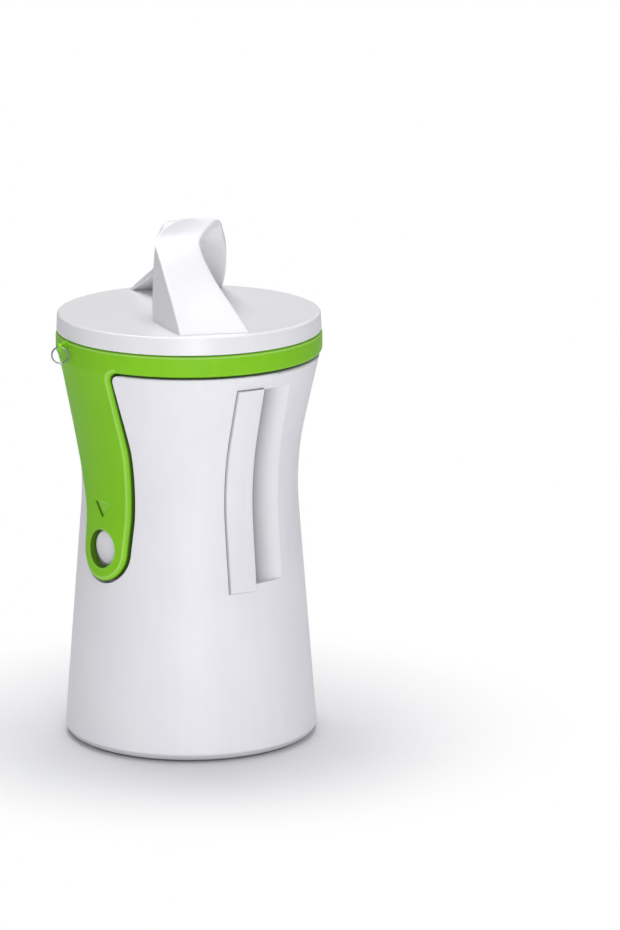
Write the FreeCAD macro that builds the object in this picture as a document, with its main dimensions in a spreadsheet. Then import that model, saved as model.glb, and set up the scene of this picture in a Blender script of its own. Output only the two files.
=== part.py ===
import FreeCAD, Part
import Sketcher
import math
import os

from FreeCAD import Placement, Rotation, Vector

# A handheld vegetable spiral cutter. The food is pushed down a cone and turned with the cap's
# twisted handle. A straight blade along the cone's side peels it and the strands leave through
# the scooped window in the body. Millimetres, +Z up, origin at the centre of the foot.
# The window faces -Y and the two arms of the grip frame lie at -X and +X.

# ---------------------------------------------------------------- driving sizes
SIZES = (
    # body: an hourglass of two straight flanks blended at the neck
    ("base_radius", 48.1), ("neck_radius", 39.7), ("neck_height", 106.0), ("neck_blend", 116.0),
    ("shell_top", 146.7), ("flare_radius", 49.0), ("shell_wall", 2.2), ("rim_round", 0.7),
    ("foot_proud", 0.8), ("bottom_round", 3.3), ("bottom_wall", 2.4), ("bottom_bore", 39.0),
    ("foot_radius", 44.4), ("foot_depth", 1.2),
    # exit window with its scooped ramp and the guard strip over it
    ("window_low", 66.0), ("window_high", 141.0), ("window_left", 11.5), ("window_right", 9.4),
    ("scoop_mouth", 3.6), ("scoop_wall", 2.0),
    ("guard_left", 15.0), ("guard_right", 4.4), ("guard_low", 63.5), ("guard_high", 141.4),
    ("guard_proud", 1.0), ("guard_depth", 1.2), ("guard_gap", 0.25),
    # grip frame: a ring with two arms
    ("arm_proud", 1.6), ("arm_wall", 3.2), ("arm_half_width", 12.8), ("arm_hole_height", 78.0),
    ("arm_hole_radius", 7.1), ("arm_bend_height", 90.0), ("arm_flare_height", 116.0),
    ("arm_bend_round", 30.0),
    ("arm_lead_width", 13.6), ("arm_lead_top", 11.2), ("arm_trail_width", 22.5),
    ("arm_gap", 0.4), ("arm_corner", 3.5), ("seat_radius", 39.2), ("seat_wall", 2.0),
    ("seat_top", 117.0), ("seat_gap", 0.5),
    ("mark_height", 90.0), ("mark_rise", 5.5), ("mark_width", 8.8), ("mark_depth", 0.6),
    ("ring_low", 147.1), ("ring_high", 155.6), ("ring_proud", 0.95), ("ring_wall", 2.95),
    ("ring_round", 1.2), ("skirt_low", 142.2), ("skirt_gap", 0.4),
    ("throat_step", 150.0),
    # latch buttons that hold the frame
    ("button_radius", 6.7), ("button_face", 40.65), ("button_collar", 8.3), ("collar_wall", 1.2),
    ("boss_radius", 11.5), ("boss_face", 35.4), ("button_gap", 0.15),
    ("cup_radius", 10.4), ("cup_wall", 1.4), ("cup_depth", 11.0), ("spring_radius", 4.2),
    ("spring_wire", 0.8), ("spring_turns", 5.0),
    # cutting cone with its blade and comb
    ("flange_inset", 4.9), ("flange_width", 3.1), ("cone_flange_wall", 2.0), ("cone_top", 145.2),
    ("funnel_run", 5.5), ("cone_mouth_height", 139.0), ("cone_throat", 7.5), ("cone_throat_height", 66.0),
    ("cone_spout", 10.0), ("cone_wall", 2.0), ("blade_angle", 10.0), ("blade_tilt", 19.0),
    ("blade_inset", 2.3), ("blade_length", 70.0), ("blade_width", 10.0), ("blade_thick", 0.6),
    ("blade_start", 3.0), ("slot_gap", 3.2), ("carrier_width", 9.0), ("carrier_thick", 2.2),
    ("carrier_setback", 2.6), ("comb_width", 8.0), ("comb_pitch", 5.0), ("tooth_thick", 0.5),
    ("tooth_length", 3.4), ("tooth_width", 2.4), ("seat_block", 7.0),
    ("blade_screw_radius", 1.0), ("blade_screw_head", 1.9), ("blade_screw_length", 5.6),
    # cap with its twisted handle, glide ring and food holder
    ("cap_gap", 0.3), ("cap_inset", 0.25), ("cap_height", 6.8), ("cap_draft", 0.4),
    ("cap_round", 1.0), ("cap_plate", 2.4), ("cap_cavity", 27.5), ("glide_clear", 0.4),
    ("glide_wall", 4.8), ("glide_height", 2.7), ("glide_lip", 1.3), ("glide_gap", 0.1),
    ("holder_lap", 1.5), ("holder_wall", 1.2), ("holder_screw_inset", 4.3),
    ("holder_screws", 4.0), ("spike_radius", 1.0), ("spike_length", 10.0), ("spike_circle", 24.0),
    ("spike_count", 8.0), ("pin_radius", 1.5), ("pin_length", 20.0),
    ("screw_radius", 1.25), ("screw_head", 2.3), ("screw_head_height", 1.2),
    ("screw_length", 7.0),
    ("handle_turn", 40.0), ("handle_height", 35.0), ("handle_inset", 3.2), ("handle_web", 20.0),
    ("handle_half", 13.5), ("handle_wall", 3.2), ("pad_height", 5.0),
    # wire ring and its lug on the rim
    ("wire_radius", 0.5), ("wire_ring_radius", 3.1), ("lug_angle", 12.6), ("lug_reach", 3.8),
    ("lug_height", 154.2), ("lug_width", 1.4), ("lug_round", 1.35), ("lug_hole", 0.75),
    ("lug_lean", 30.0),
)


class Size:
    """A length with its value and the spreadsheet formula that gives it."""

    def __init__(self, value, text):
        self.value = value
        self.text = text

    def join(self, other, sign, result):
        other_text = other.text if isinstance(other, Size) else repr(other)
        return Size(result, "(" + self.text + " " + sign + " " + other_text + ")")

    def __add__(self, other):
        return self.join(other, "+", self.value + number(other))

    def __sub__(self, other):
        return self.join(other, "-", self.value - number(other))

    def __mul__(self, other):
        return self.join(other, "*", self.value * number(other))

    def __truediv__(self, other):
        return self.join(other, "/", self.value / number(other))

    def __neg__(self):
        return Size(-self.value, "(-1 * " + self.text + ")")


def number(item):
    """The plain value of a Size or a number."""
    return item.value if isinstance(item, Size) else item


# Sizes that follow others: the ring sits on the body's rim, and the cone, cap and handle on it.
DERIVED = {
    "ring_radius": lambda sizes: sizes.flare_radius + sizes.ring_proud,
    "ring_bore": lambda sizes: sizes.ring_radius - sizes.ring_wall,
    "cone_flange": lambda sizes: sizes.flare_radius - sizes.flange_inset,
    "funnel_mouth": lambda sizes: sizes.cone_flange - sizes.flange_width,
    "cone_mouth": lambda sizes: sizes.funnel_mouth - sizes.funnel_run,
    "cap_radius": lambda sizes: sizes.ring_radius - sizes.cap_inset,
    "glide_radius": lambda sizes: sizes.ring_bore - sizes.glide_clear,
    "hub_radius": lambda sizes: sizes.glide_radius - sizes.glide_wall,
    "holder_radius": lambda sizes: sizes.hub_radius + sizes.holder_lap,
    "holder_screw_circle": lambda sizes: sizes.hub_radius - sizes.holder_screw_inset,
    "handle_foot": lambda sizes: sizes.cap_radius - sizes.handle_inset,
    "handle_side": lambda sizes: sizes.handle_foot * 0.482,
    "handle_reach": lambda sizes: sizes.handle_foot * 0.8925,
}


class Sheet:
    """Reads a size by its name: S.base_radius is a Size, V.base_radius its value."""

    def __init__(self, plain):
        self.plain = plain

    def __getattr__(self, name):
        if name in DERIVED:
            return DERIVED[name](self)
        value = float(sheet.get(name))
        return value if self.plain else Size(value, "Sizes." + name)


doc = FreeCAD.newDocument("SpiralCutter")
sheet = doc.addObject("Spreadsheet::Sheet", "Sizes")
for row, (alias, value) in enumerate(SIZES, start=1):
    sheet.set("A%d" % row, alias)
    sheet.set("B%d" % row, str(value))
    sheet.setAlias("B%d" % row, alias)
doc.recompute()
S = Sheet(plain=False)
V = Sheet(plain=True)
NODES = []


# ---------------------------------------------------------------- sketch and body helpers
def origin_plane(body, role):
    """One of a body's own origin planes, such as XZ_Plane."""
    return [item for item in body.Origin.OriginFeatures if item.Role == role][0]


def fix_point(sketch, geometry, vertex, x, y):
    """Hold a sketch point at x, y from the sketch's origin, each bound to its formula."""
    for kind, size in (("DistanceX", x), ("DistanceY", y)):
        index = sketch.addConstraint(Sketcher.Constraint(kind, -1, 1, geometry, vertex, number(size)))
        if isinstance(size, Size):
            sketch.setExpression("Constraints[%d]" % index, size.text)


def corner_arc(before, corner, after, radius):
    """Tangent points, middle and centre of the arc that rounds a corner between two runs."""
    to_before = (before - corner).normalize()
    to_after = (after - corner).normalize()
    half = to_before.getAngle(to_after) / 2
    reach = radius / math.tan(half)
    middle_way = (to_before + to_after).normalize()
    centre = corner + middle_way * (radius / math.sin(half))
    return corner + to_before * reach, centre - middle_way * radius, corner + to_after * reach


def closed_outline(sketch, points):
    """A closed outline of straight runs through points bound to their formulas."""
    spots = [Vector(number(point[0]), number(point[1]), 0) for point in points]
    runs = [sketch.addGeometry(Part.LineSegment(spots[index - 1], spot), False)
            for index, spot in enumerate(spots)]
    for index, point in enumerate(points):
        run_out = runs[(index + 1) % len(points)]
        sketch.addConstraint(Sketcher.Constraint("Coincident", runs[index], 2, run_out, 1))
        fix_point(sketch, run_out, 1, point[0], point[1])


def new_sketch(body, name, role):
    sketch = body.newObject("Sketcher::SketchObject", name)
    sketch.AttachmentSupport = [(origin_plane(body, role), "")]
    sketch.MapMode = "FlatFace"
    return sketch


def rounded(body, name, radius, height, bend):
    """Rounds the circular edge of a turned body at a radius and height."""
    doc.recompute()
    base = body.Tip
    edges = []
    for index, edge in enumerate(base.Shape.Edges, start=1):
        if not isinstance(edge.Curve, Part.Circle):
            continue
        if abs(edge.Curve.Radius - number(radius)) + abs(edge.Curve.Center.z - number(height)) < 1e-4:
            edges.append("Edge%d" % index)
    fillet = body.newObject("PartDesign::Fillet", name)
    fillet.Base = (base, edges)
    fillet.Radius = number(bend)
    if isinstance(bend, Size):
        fillet.setExpression("Radius", bend.text)
    body.Tip = fillet


def turned(name, points):
    """A body turned about its own Z from (radius, height) corners, or (radius, height, round)."""
    body = doc.addObject("PartDesign::Body", name)
    body.Label = name
    sketch = new_sketch(body, name + "_profile", "XZ_Plane")
    closed_outline(sketch, points)
    turn = body.newObject("PartDesign::Revolution", name + "_turn")
    turn.Profile = sketch
    turn.ReferenceAxis = (sketch, ["V_Axis"])
    turn.Angle = 360
    body.Tip = turn
    for number_of_corner, corner in enumerate(points):
        if len(corner) == 3:
            rounded(body, "%s_round_%d" % (name, number_of_corner), *corner)
    NODES.append(body)
    return body


def drilled(body, name, x, y, radius, low, high, count=1):
    """Round holes along the body's Z between two heights, spaced evenly about Z."""
    sketch = new_sketch(body, name + "_spot", "XY_Plane")
    circle = sketch.addGeometry(
        Part.Circle(Vector(number(x), number(y), 0), Vector(0, 0, 1), number(radius)), False)
    fix_point(sketch, circle, 3, x, y)
    size = sketch.addConstraint(Sketcher.Constraint("Radius", circle, number(radius)))
    sketch.setExpression("Constraints[%d]" % size, radius.text)
    sketch.setExpression("AttachmentOffset.Base.z", low.text)
    pocket = body.newObject("PartDesign::Pocket", name)
    pocket.Profile = sketch
    pocket.Type = "Length"
    pocket.setExpression("Length", (high - low).text)
    pocket.Reversed = True
    body.Tip = pocket
    if count > 1:
        ring = body.newObject("PartDesign::PolarPattern", name + "_ring")
        ring.Originals = [pocket]
        ring.Axis = (sketch, ["N_Axis"])
        ring.Angle = 360
        ring.Occurrences = count
        body.Tip = ring


def shaped(name, shape):
    """A sub-part whose shape is worked out from the sheet with Part's own functions."""
    item = doc.addObject("Part::Feature", name)
    item.Label = name
    item.Shape = shape
    NODES.append(item)
    return item


# ---------------------------------------------------------------- shape helpers
def block(x_low, x_high, y_low, y_high, z_low, z_high):
    return Part.makeBox(x_high - x_low, y_high - y_low, z_high - z_low, Vector(x_low, y_low, z_low))


def run_edges(points):
    """Straight runs through (point, round) pairs, with an arc at each corner that has a round."""
    edges = []
    last = points[0][0]
    for (before, _), (spot, radius), (after, _) in zip(points, points[1:], points[2:]):
        if not radius:
            edges.append(Part.LineSegment(last, spot).toShape())
            last = spot
            continue
        start, middle, end = corner_arc(before, spot, after, radius)
        edges.append(Part.LineSegment(last, start).toShape())
        edges.append(Part.Arc(start, middle, end).toShape())
        last = end
    edges.append(Part.LineSegment(last, points[-1][0]).toShape())
    return edges


def turned_solid(points):
    """A solid turned about Z from (radius, height, round) corners."""
    spots = [(Vector(radius, 0, height), bend) for radius, height, bend in points]
    wire = Part.Wire(Part.__sortEdges__(run_edges(spots + spots[:1])))
    return Part.Face(wire).revolve(Vector(), Vector(0, 0, 1), 360)


def hourglass(offset, low, high, low_bend=0, high_bend=0):
    """The body's outer form, grown by an offset, between two heights, with its two edges rounded."""
    flank = (V.base_radius - V.neck_radius) / V.neck_height
    flare = (V.flare_radius - V.neck_radius) / (V.shell_top - V.neck_height)
    bottom = V.base_radius + offset - flank * low
    top = V.neck_radius + offset + flare * (high - V.neck_height)
    neck = V.neck_radius + offset
    return turned_solid(((0, low, 0), (bottom, low, low_bend), (neck, V.neck_height, V.neck_blend),
                         (top, high, high_bend), (0, high, 0)))


def body_radius(height):
    """The body's outer radius on the straight flanks and, near the neck, on the blend."""
    flank = (V.base_radius - V.neck_radius) / V.neck_height
    flare = (V.flare_radius - V.neck_radius) / (V.shell_top - V.neck_height)
    half_turn = (math.atan(flank) + math.atan(flare)) / 2
    reach = V.neck_blend * math.tan(half_turn)
    below = V.neck_height - reach * math.cos(math.atan(flank))
    if height <= below:
        return V.base_radius - flank * height
    above = V.neck_height + reach * math.cos(math.atan(flare))
    if height >= above:
        return V.neck_radius + flare * (height - V.neck_height)
    centre_height = below + V.neck_blend * math.sin(math.atan(flank))
    centre_radius = V.base_radius - flank * below + V.neck_blend * math.cos(math.atan(flank))
    return centre_radius - math.sqrt(V.neck_blend ** 2 - (height - centre_height) ** 2)


def half_turned(shape):
    return shape.rotated(Vector(), Vector(0, 0, 1), 180)


def refined(shape):
    return shape.removeSplitter()


# ---------------------------------------------------------------- grip frame and its seat
def arm_prism(grow, top):
    """The arm's outline at -X, grown all round and run outwards. Its foot is round about the hole,
    and where it meets the ring it widens with a small round each side."""
    wide = V.arm_half_width + grow
    hole = V.arm_hole_height
    lead = V.arm_lead_width + grow
    lead_top = V.arm_lead_top + grow
    trail = V.arm_trail_width + grow
    under_ring = V.ring_low - grow
    bend = V.arm_bend_round
    # Seen from -X the leading edge, on the window's side, is at -Y.
    corners = [(-wide, hole, 0), (-lead, V.arm_bend_height, bend), (-lead, V.arm_flare_height, bend)]
    step = max(V.arm_corner - grow, 0.1)
    corners += [(-lead_top, under_ring, step), (-lead_top - 2 * V.arm_corner, under_ring, 0),
                (-lead_top - 2 * V.arm_corner, top, 0), (trail + 2 * V.arm_corner, top, 0),
                (trail + 2 * V.arm_corner, under_ring, 0), (trail, under_ring, step)]
    corners += [(trail, V.arm_flare_height, bend), (wide, V.arm_bend_height, bend), (wide, hole, 0)]
    start = -V.boss_face + V.boss_radius
    spots = [(Vector(start, y, z), radius) for y, z, radius in corners]
    edges = run_edges(spots)
    edges.append(Part.Arc(spots[-1][0], Vector(start, 0, hole - wide), spots[0][0]).toShape())
    face = Part.Face(Part.Wire(Part.__sortEdges__(edges)))
    return face.extrude(Vector(-2 * V.ring_radius, 0, 0))


def frame_form(offset, low, high):
    """The frame's outer form: proud of the body at the neck and level with the ring at its top."""
    flank = (V.base_radius - V.neck_radius) / V.neck_height
    neck = V.neck_radius + V.arm_proud
    flare = (V.ring_radius - neck) / (V.ring_low - V.neck_height)
    bottom = V.base_radius + V.arm_proud - flank * low
    top = neck + flare * (high - V.neck_height)
    return turned_solid(((0, low, 0), (bottom + offset, low, 0), (neck + offset, V.neck_height, V.neck_blend),
                         (top + offset, high, 0), (0, high, 0)))


def grip_frame():
    low = V.arm_hole_height - V.arm_half_width - 1
    high = V.ring_low + 0.5
    inside = Part.makeCylinder(V.seat_radius + V.seat_gap, high - low, Vector(0, 0, low))
    wall = frame_form(0, low, high).cut(frame_form(-V.arm_wall, low - 1, high + 1).fuse(inside))
    arm = wall.common(arm_prism(0, high))
    start = -V.seat_radius / 2
    hole = Part.makeCylinder(V.arm_hole_radius, V.ring_radius, Vector(start, 0, V.arm_hole_height),
                             Vector(-1, 0, 0))
    tip = V.mark_height
    mark = Part.Face(Part.makePolygon([
        Vector(start, 0, tip), Vector(start, V.mark_width / 2, tip + V.mark_rise),
        Vector(start, -V.mark_width / 2, tip + V.mark_rise), Vector(start, 0, tip)]))
    mark = mark.extrude(Vector(-V.ring_radius, 0, 0)).cut(frame_form(-V.mark_depth, low, high))
    arm = arm.cut(hole).cut(mark)
    skirt_top = V.neck_radius + (V.flare_radius - V.neck_radius) / (V.shell_top - V.neck_height) * (
        V.ring_low - V.neck_height) - V.shell_wall - V.skirt_gap
    skirt_bottom = body_radius(V.skirt_low) - V.shell_wall - V.skirt_gap
    clip = V.cone_flange + V.glide_gap
    flange_low = V.cone_top - V.cone_flange_wall
    lip = clip - 0.7
    ring = turned_solid((
        (V.ring_radius, V.ring_low, 0.4), (V.ring_radius, V.ring_high, V.ring_round),
        (V.ring_bore, V.ring_high, V.ring_round), (V.ring_bore, V.throat_step, 0.5),
        (V.funnel_mouth, V.cone_top, 0), (clip, V.cone_top, 0), (clip, flange_low, 0),
        (lip, flange_low - 0.3, 0), (lip, V.skirt_low, 0), (skirt_bottom, V.skirt_low, 0),
        (skirt_top, V.ring_low, 0)))
    frame = ring.fuse([arm, half_turned(arm)])
    place = lug_place()
    knuckle = placed(Part.makeCylinder(V.lug_round, V.lug_width, Vector(0, 0, -V.lug_width / 2)), place)
    eye = placed(Part.makeCylinder(V.lug_hole, 4 * V.lug_width, Vector(0, 0, -2 * V.lug_width)), place)
    # The stem leaves the knuckle beside the wire and ends in the middle of the rim's wall.
    lean = Rotation(Vector(0, 1, 0), V.lug_lean)
    spot = Vector(place.Base.x, place.Base.y, 0)
    along = place.Rotation.multVec(lean.multVec(Vector(-1, 0, 0)))
    middle = (V.ring_radius + V.ring_bore) / 2
    length = -spot.dot(along) - math.sqrt(spot.dot(along) ** 2 - spot.Length ** 2 + middle ** 2)
    stem = placed(block(-length, 0, -V.lug_round, V.lug_round, -V.lug_width / 2, V.lug_width / 2),
                  place.multiply(Placement(Vector(), lean)))
    return refined(frame.fuse([knuckle, stem]).cut(eye))


def lug_place():
    """The wire ring's hole: local Z along the hole, local Y down and local -X towards the rim."""
    angle = math.radians(V.lug_angle)
    reach = V.ring_radius + V.lug_reach
    spot = Vector(-math.cos(angle) * reach, math.sin(angle) * reach, V.lug_height)
    # The hole runs level, turned from X by the same angle as the handle.
    turn = math.radians(-V.handle_turn)
    along = Vector(math.cos(turn), math.sin(turn), 0)
    inward = Vector(0, 0, 1).cross(along)
    return Placement(FreeCAD.Matrix(-inward.x, 0, along.x, spot.x, -inward.y, 0, along.y, spot.y,
                                    0, -1, 0, spot.z, 0, 0, 0, 1))


def hang_ring():
    place = lug_place()
    wire = Part.makeTorus(V.wire_ring_radius, V.wire_radius)
    # The torus stands in the plane of the hole and the vertical, its top in the hole.
    wire.Placement = place.multiply(Placement(Vector(0, V.wire_ring_radius, 0), Rotation(Vector(0, 1, 0), 90)))
    return wire


# ---------------------------------------------------------------- body
def scooped(offset, low, high):
    """The body's form moved sideways. The two forms cross halfway, at the window's right edge, and
    left of it the moved one dips into the body as a long scoop."""
    return hourglass(offset, low, high).translated(Vector(2 * V.window_right, 0, 0))


def cone_space(grow):
    """The room that the cone takes, grown all round."""
    outer = V.cone_wall + grow
    return turned_solid(((0, V.cone_throat_height - V.cone_spout - grow, 0),
                         (V.cone_throat + outer, V.cone_throat_height - V.cone_spout - grow, 0),
                         (V.cone_throat + outer, V.cone_throat_height, 0),
                         (V.cone_mouth + outer, V.cone_mouth_height, 0),
                         (V.funnel_mouth + outer, V.cone_top, 0), (0, V.cone_top, 0)))


def cutter_room():
    """The room that the cone, its blade, carrier, comb and screws take, with a gap all round."""
    gap = V.seat_gap
    low, high = V.blade_start - 2 - gap, V.blade_start + V.blade_length + 2 + gap
    comb_side = block(-5, V.blade_thick + V.screw_head_height + gap, -V.slot_gap - V.comb_width - gap, 0, low, high)
    blade_top = V.blade_thick + V.carrier_thick + gap
    carrier_back = V.carrier_setback + V.carrier_width + gap
    return cone_space(gap).fuse([placed(comb_side, cone_side()),
                                 placed(block(-5, blade_top, -V.slot_gap, carrier_back, low, high), blade_side())])


def button_axis(shape):
    """Turns a shape made along Z so that its axis runs out along -X at the button's height."""
    return shape.rotated(Vector(), Vector(0, 1, 0), -90).translated(Vector(0, 0, V.arm_hole_height))


def body_shell():
    low, high = V.foot_proud, V.shell_top
    outer = hourglass(0, low, high, V.bottom_round, V.rim_round)
    inner = hourglass(-V.shell_wall, low + V.bottom_wall, high + 1)
    bore = Part.makeCylinder(V.bottom_bore, V.bottom_wall + 2, Vector(0, 0, low - 1))
    foot = Part.makeCylinder(V.foot_radius, V.foot_depth + 1, Vector(0, 0, low - 1))
    shell = outer.cut(inner.fuse(bore)).cut(foot)

    # A flat-floored seat behind each arm, open above its floor.
    floor_inside = Part.makeCylinder(V.seat_radius - V.seat_wall, high)
    seat = outer.common(arm_prism(V.arm_gap + V.seat_wall, high + 2)).cut(floor_inside)
    seat = seat.common(block(-V.base_radius, 0, -V.base_radius, V.base_radius, 0, V.seat_top))
    boss = button_axis(Part.makeCylinder(V.boss_radius, V.seat_radius - V.boss_face - 0.3,
                                         Vector(0, 0, V.boss_face)))
    seat = seat.fuse(boss)
    floor_outside = Part.makeCylinder(V.seat_radius, V.seat_top)
    pocket = arm_prism(V.arm_gap, high + 2).cut(floor_outside)
    stem_hole = button_axis(Part.makeCylinder(V.button_radius + V.button_gap, V.base_radius))
    cup_groove = button_axis(Part.makeCylinder(V.cup_radius, 1.0, Vector(0, 0, V.boss_face)).cut(
        Part.makeCylinder(V.cup_radius - V.cup_wall, 1.0, Vector(0, 0, V.boss_face))))
    voids = pocket.fuse([stem_hole.common(block(-V.base_radius, -20, -20, 20, 0, high)), cup_groove])
    shell = shell.fuse([seat, half_turned(seat)]).cut(voids).cut(half_turned(voids))

    # The scoop: a ramp that dips under the guard strip, with a shelf above and below and a side wall.
    wall = V.scoop_wall
    left = -V.window_left
    right = V.window_left + 8
    window = block(left, right, -V.base_radius - 5, -20, V.window_low, V.window_high)
    low_wall, high_wall = V.window_low - wall, V.skirt_low - V.skirt_gap
    frame = block(left - wall, right, -V.base_radius - 5, -20, low_wall, high_wall)
    ramp = block(-V.scoop_mouth, right, -V.base_radius - 5, -20, low_wall, high_wall)
    lining = frame.cut(window).fuse(ramp).common(outer).cut(scooped(-wall, 1, high + 3))
    void = window.cut(scooped(0, 1, high + 3))
    shell = shell.fuse(lining.cut(cutter_room())).cut(void)

    # The shallow recess that the guard strip lies in.
    gap = V.guard_gap
    recess = block(-V.guard_left - gap, gap - V.guard_right, -V.base_radius - 5, -20,
                   V.guard_low - gap, V.guard_high + gap).cut(hourglass(-V.guard_depth, 1, high + 3))
    return refined(shell.cut(recess))


def exit_guard():
    box = block(-V.guard_left, -V.guard_right, -V.base_radius - 5, -20, V.guard_low, V.guard_high)
    strip = box.common(hourglass(V.guard_proud, 1, V.shell_top + 3))
    return refined(strip.cut(hourglass(-V.guard_depth, 1, V.shell_top + 3)))


# ---------------------------------------------------------------- cone, blade and comb
def cone_side(tilt=0.0, inset=0.0):
    """A place on the cone's side: local X out of the cone, Y along the cut and Z up the slope."""
    half = math.atan((V.cone_mouth - V.cone_throat) / (V.cone_mouth_height - V.cone_throat_height))
    angle = math.radians(-V.blade_angle)
    out = Vector(math.sin(angle), -math.cos(angle), 0)
    across = Vector(math.cos(angle), math.sin(angle), 0)
    up = out * math.sin(half) + Vector(0, 0, math.cos(half))
    normal = out * math.cos(half) - Vector(0, 0, math.sin(half))
    spot = out * (V.cone_throat + V.cone_wall) + Vector(0, 0, V.cone_throat_height)
    place = Placement(FreeCAD.Matrix(normal.x, across.x, up.x, spot.x, normal.y, across.y, up.y, spot.y,
                                     normal.z, across.z, up.z, spot.z, 0, 0, 0, 1))
    lean = Placement(Vector(-inset, 0, 0), Rotation(Vector(0, 0, 1), -tilt))
    return place.multiply(lean)


def placed(shape, place):
    shape.Placement = place
    return shape


def blade_side():
    return cone_side(V.blade_tilt, V.blade_inset)


def run_up(points, low, high):
    """A prism up the cone's slope from (out, across) corners."""
    corners = [Vector(out, across, low) for out, across in points]
    return Part.Face(Part.makePolygon(corners + corners[:1])).extrude(Vector(0, 0, high - low))


def side_screw_heights():
    end = V.blade_start + V.blade_length
    return V.blade_start + V.seat_block / 2, end - V.seat_block / 2


def cutting_cone():
    wall = V.cone_wall
    low = V.cone_throat_height - V.cone_spout
    flange_low = V.cone_top - V.cone_flange_wall
    cone = turned_solid((
        (V.cone_throat, low, 0), (V.cone_throat, V.cone_throat_height, 0),
        (V.cone_mouth, V.cone_mouth_height, 6.0), (V.funnel_mouth, V.cone_top, 0),
        (V.cone_flange, V.cone_top, 0), (V.cone_flange, flange_low, 0),
        (V.funnel_mouth + 0.4, flange_low, 0), (V.cone_mouth + wall, V.cone_mouth_height - 0.4, 6.0),
        (V.cone_throat + wall, V.cone_throat_height - 0.4, 0), (V.cone_throat + wall, low, 0)))
    hollow = turned_solid(((0, low, 0), (V.cone_throat, low, 0), (V.cone_throat, V.cone_throat_height, 0),
                           (V.cone_mouth, V.cone_mouth_height, 0), (0, V.cone_mouth_height, 0)))
    start, end = V.blade_start, V.blade_start + V.blade_length
    back = V.carrier_setback + V.carrier_width
    seats = []
    for low_end, high_end in ((start - 2, start + V.seat_block), (end - V.seat_block, end + 2)):
        seats.append(placed(block(-4, 0, V.carrier_setback, back, low_end, high_end), blade_side()))
        seats.append(placed(block(-4, 0, -V.slot_gap - V.comb_width, -V.slot_gap, low_end, high_end),
                            cone_side()))
    cone = cone.fuse([seat.cut(hollow) for seat in seats])
    above = placed(block(0, 7, -V.slot_gap, back, start - 2, end + 2), blade_side())
    gap = placed(block(-7, 7, -V.slot_gap, 0, start, end), blade_side())
    cone = cone.cut(above.fuse(gap))
    for height in side_screw_heights():
        for place, across in ((blade_side(), V.carrier_setback + V.carrier_width / 2),
                              (cone_side(), -V.slot_gap - V.comb_width / 2)):
            pilot = Part.makeCylinder(V.blade_screw_radius, 8, Vector(-6, across, height), Vector(1, 0, 0))
            cone = cone.cut(placed(pilot, place))
    return refined(cone)


def slicing_blade():
    ground = 1.6
    start, end = V.blade_start, V.blade_start + V.blade_length
    thick = V.blade_thick
    blade = run_up(((0, 0), (thick, ground), (thick, V.blade_width), (0, V.blade_width)), start, end)
    for height in side_screw_heights():
        blade = blade.cut(Part.makeCylinder(V.blade_screw_radius + 0.1, 4 * thick, Vector(
            -thick, V.carrier_setback + V.carrier_width / 2, height), Vector(1, 0, 0)))
    return placed(blade, blade_side())


def blade_carrier():
    start, end = V.blade_start - 2, V.blade_start + V.blade_length + 2
    under, over = V.blade_thick, V.blade_thick + V.carrier_thick
    front, back = V.carrier_setback, V.carrier_setback + V.carrier_width
    carrier = run_up(((under, front), (over, front + V.carrier_thick), (over, back), (0, back),
                      (0, V.blade_width + 0.1), (under, V.blade_width + 0.1)), start, end)
    for height in side_screw_heights():
        spot = Vector(0, (front + back) / 2, height)
        carrier = carrier.cut(Part.makeCylinder(V.blade_screw_radius + 0.1, over + 1, spot, Vector(1, 0, 0)))
        spot.x = over - V.screw_head_height
        carrier = carrier.cut(Part.makeCylinder(V.blade_screw_head + 0.1, 3, spot, Vector(1, 0, 0)))
    return placed(carrier, blade_side())


def comb():
    start, end = V.blade_start, V.blade_start + V.blade_length
    strip = block(0, V.blade_thick, -V.slot_gap - V.comb_width, -V.slot_gap + 0.5, start, end)
    teeth = []
    count = int((V.blade_length - V.comb_pitch) / V.comb_pitch)
    for index in range(1, count + 1):
        height = start + index * V.comb_pitch
        tooth = run_up(((-V.tooth_length, -V.slot_gap + 0.3), (-V.tooth_length, -V.slot_gap + 0.9),
                        (-1.0, -V.slot_gap + V.tooth_width), (V.blade_thick, -V.slot_gap + V.tooth_width),
                        (V.blade_thick, -V.slot_gap)), height, height + V.tooth_thick)
        teeth.append(tooth)
    strip = strip.fuse(teeth)
    for height in side_screw_heights():
        spot = Vector(-1, -V.slot_gap - V.comb_width / 2, height)
        strip = strip.cut(Part.makeCylinder(V.blade_screw_radius + 0.1, 3, spot, Vector(1, 0, 0)))
    return refined(placed(strip, cone_side()))


def side_screw(head_face, across, height):
    """A small screw whose head's outer face lies at head_face, pointing into the cone's side."""
    head = V.screw_head_height
    shank = Part.makeCylinder(V.blade_screw_radius, V.blade_screw_length,
                              Vector(head_face - V.blade_screw_length, across, height), Vector(1, 0, 0))
    cap = Part.makeCylinder(V.blade_screw_head, head, Vector(head_face - head, across, height),
                            Vector(1, 0, 0))
    slot = block(head_face - 0.5, head_face + 1, across - V.blade_screw_head, across + V.blade_screw_head,
                 height - 0.25, height + 0.25)
    return shank.fuse(cap).cut(slot)


def screw_pair(head_face, across, place):
    return Part.makeCompound([placed(side_screw(head_face, across, height), place)
                              for height in side_screw_heights()])


# ---------------------------------------------------------------- twisted handle
def handle_point(across, forward, height):
    """A point from the handle's own frame: across and forward from its centre, up from the cap."""
    turn = math.radians(-V.handle_turn)
    side = Vector(math.cos(turn), math.sin(turn), 0)
    front = Vector(math.sin(turn), -math.cos(turn), 0)
    return side * across + front * forward + Vector(0, 0, number(cap_top()) + height)


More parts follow.
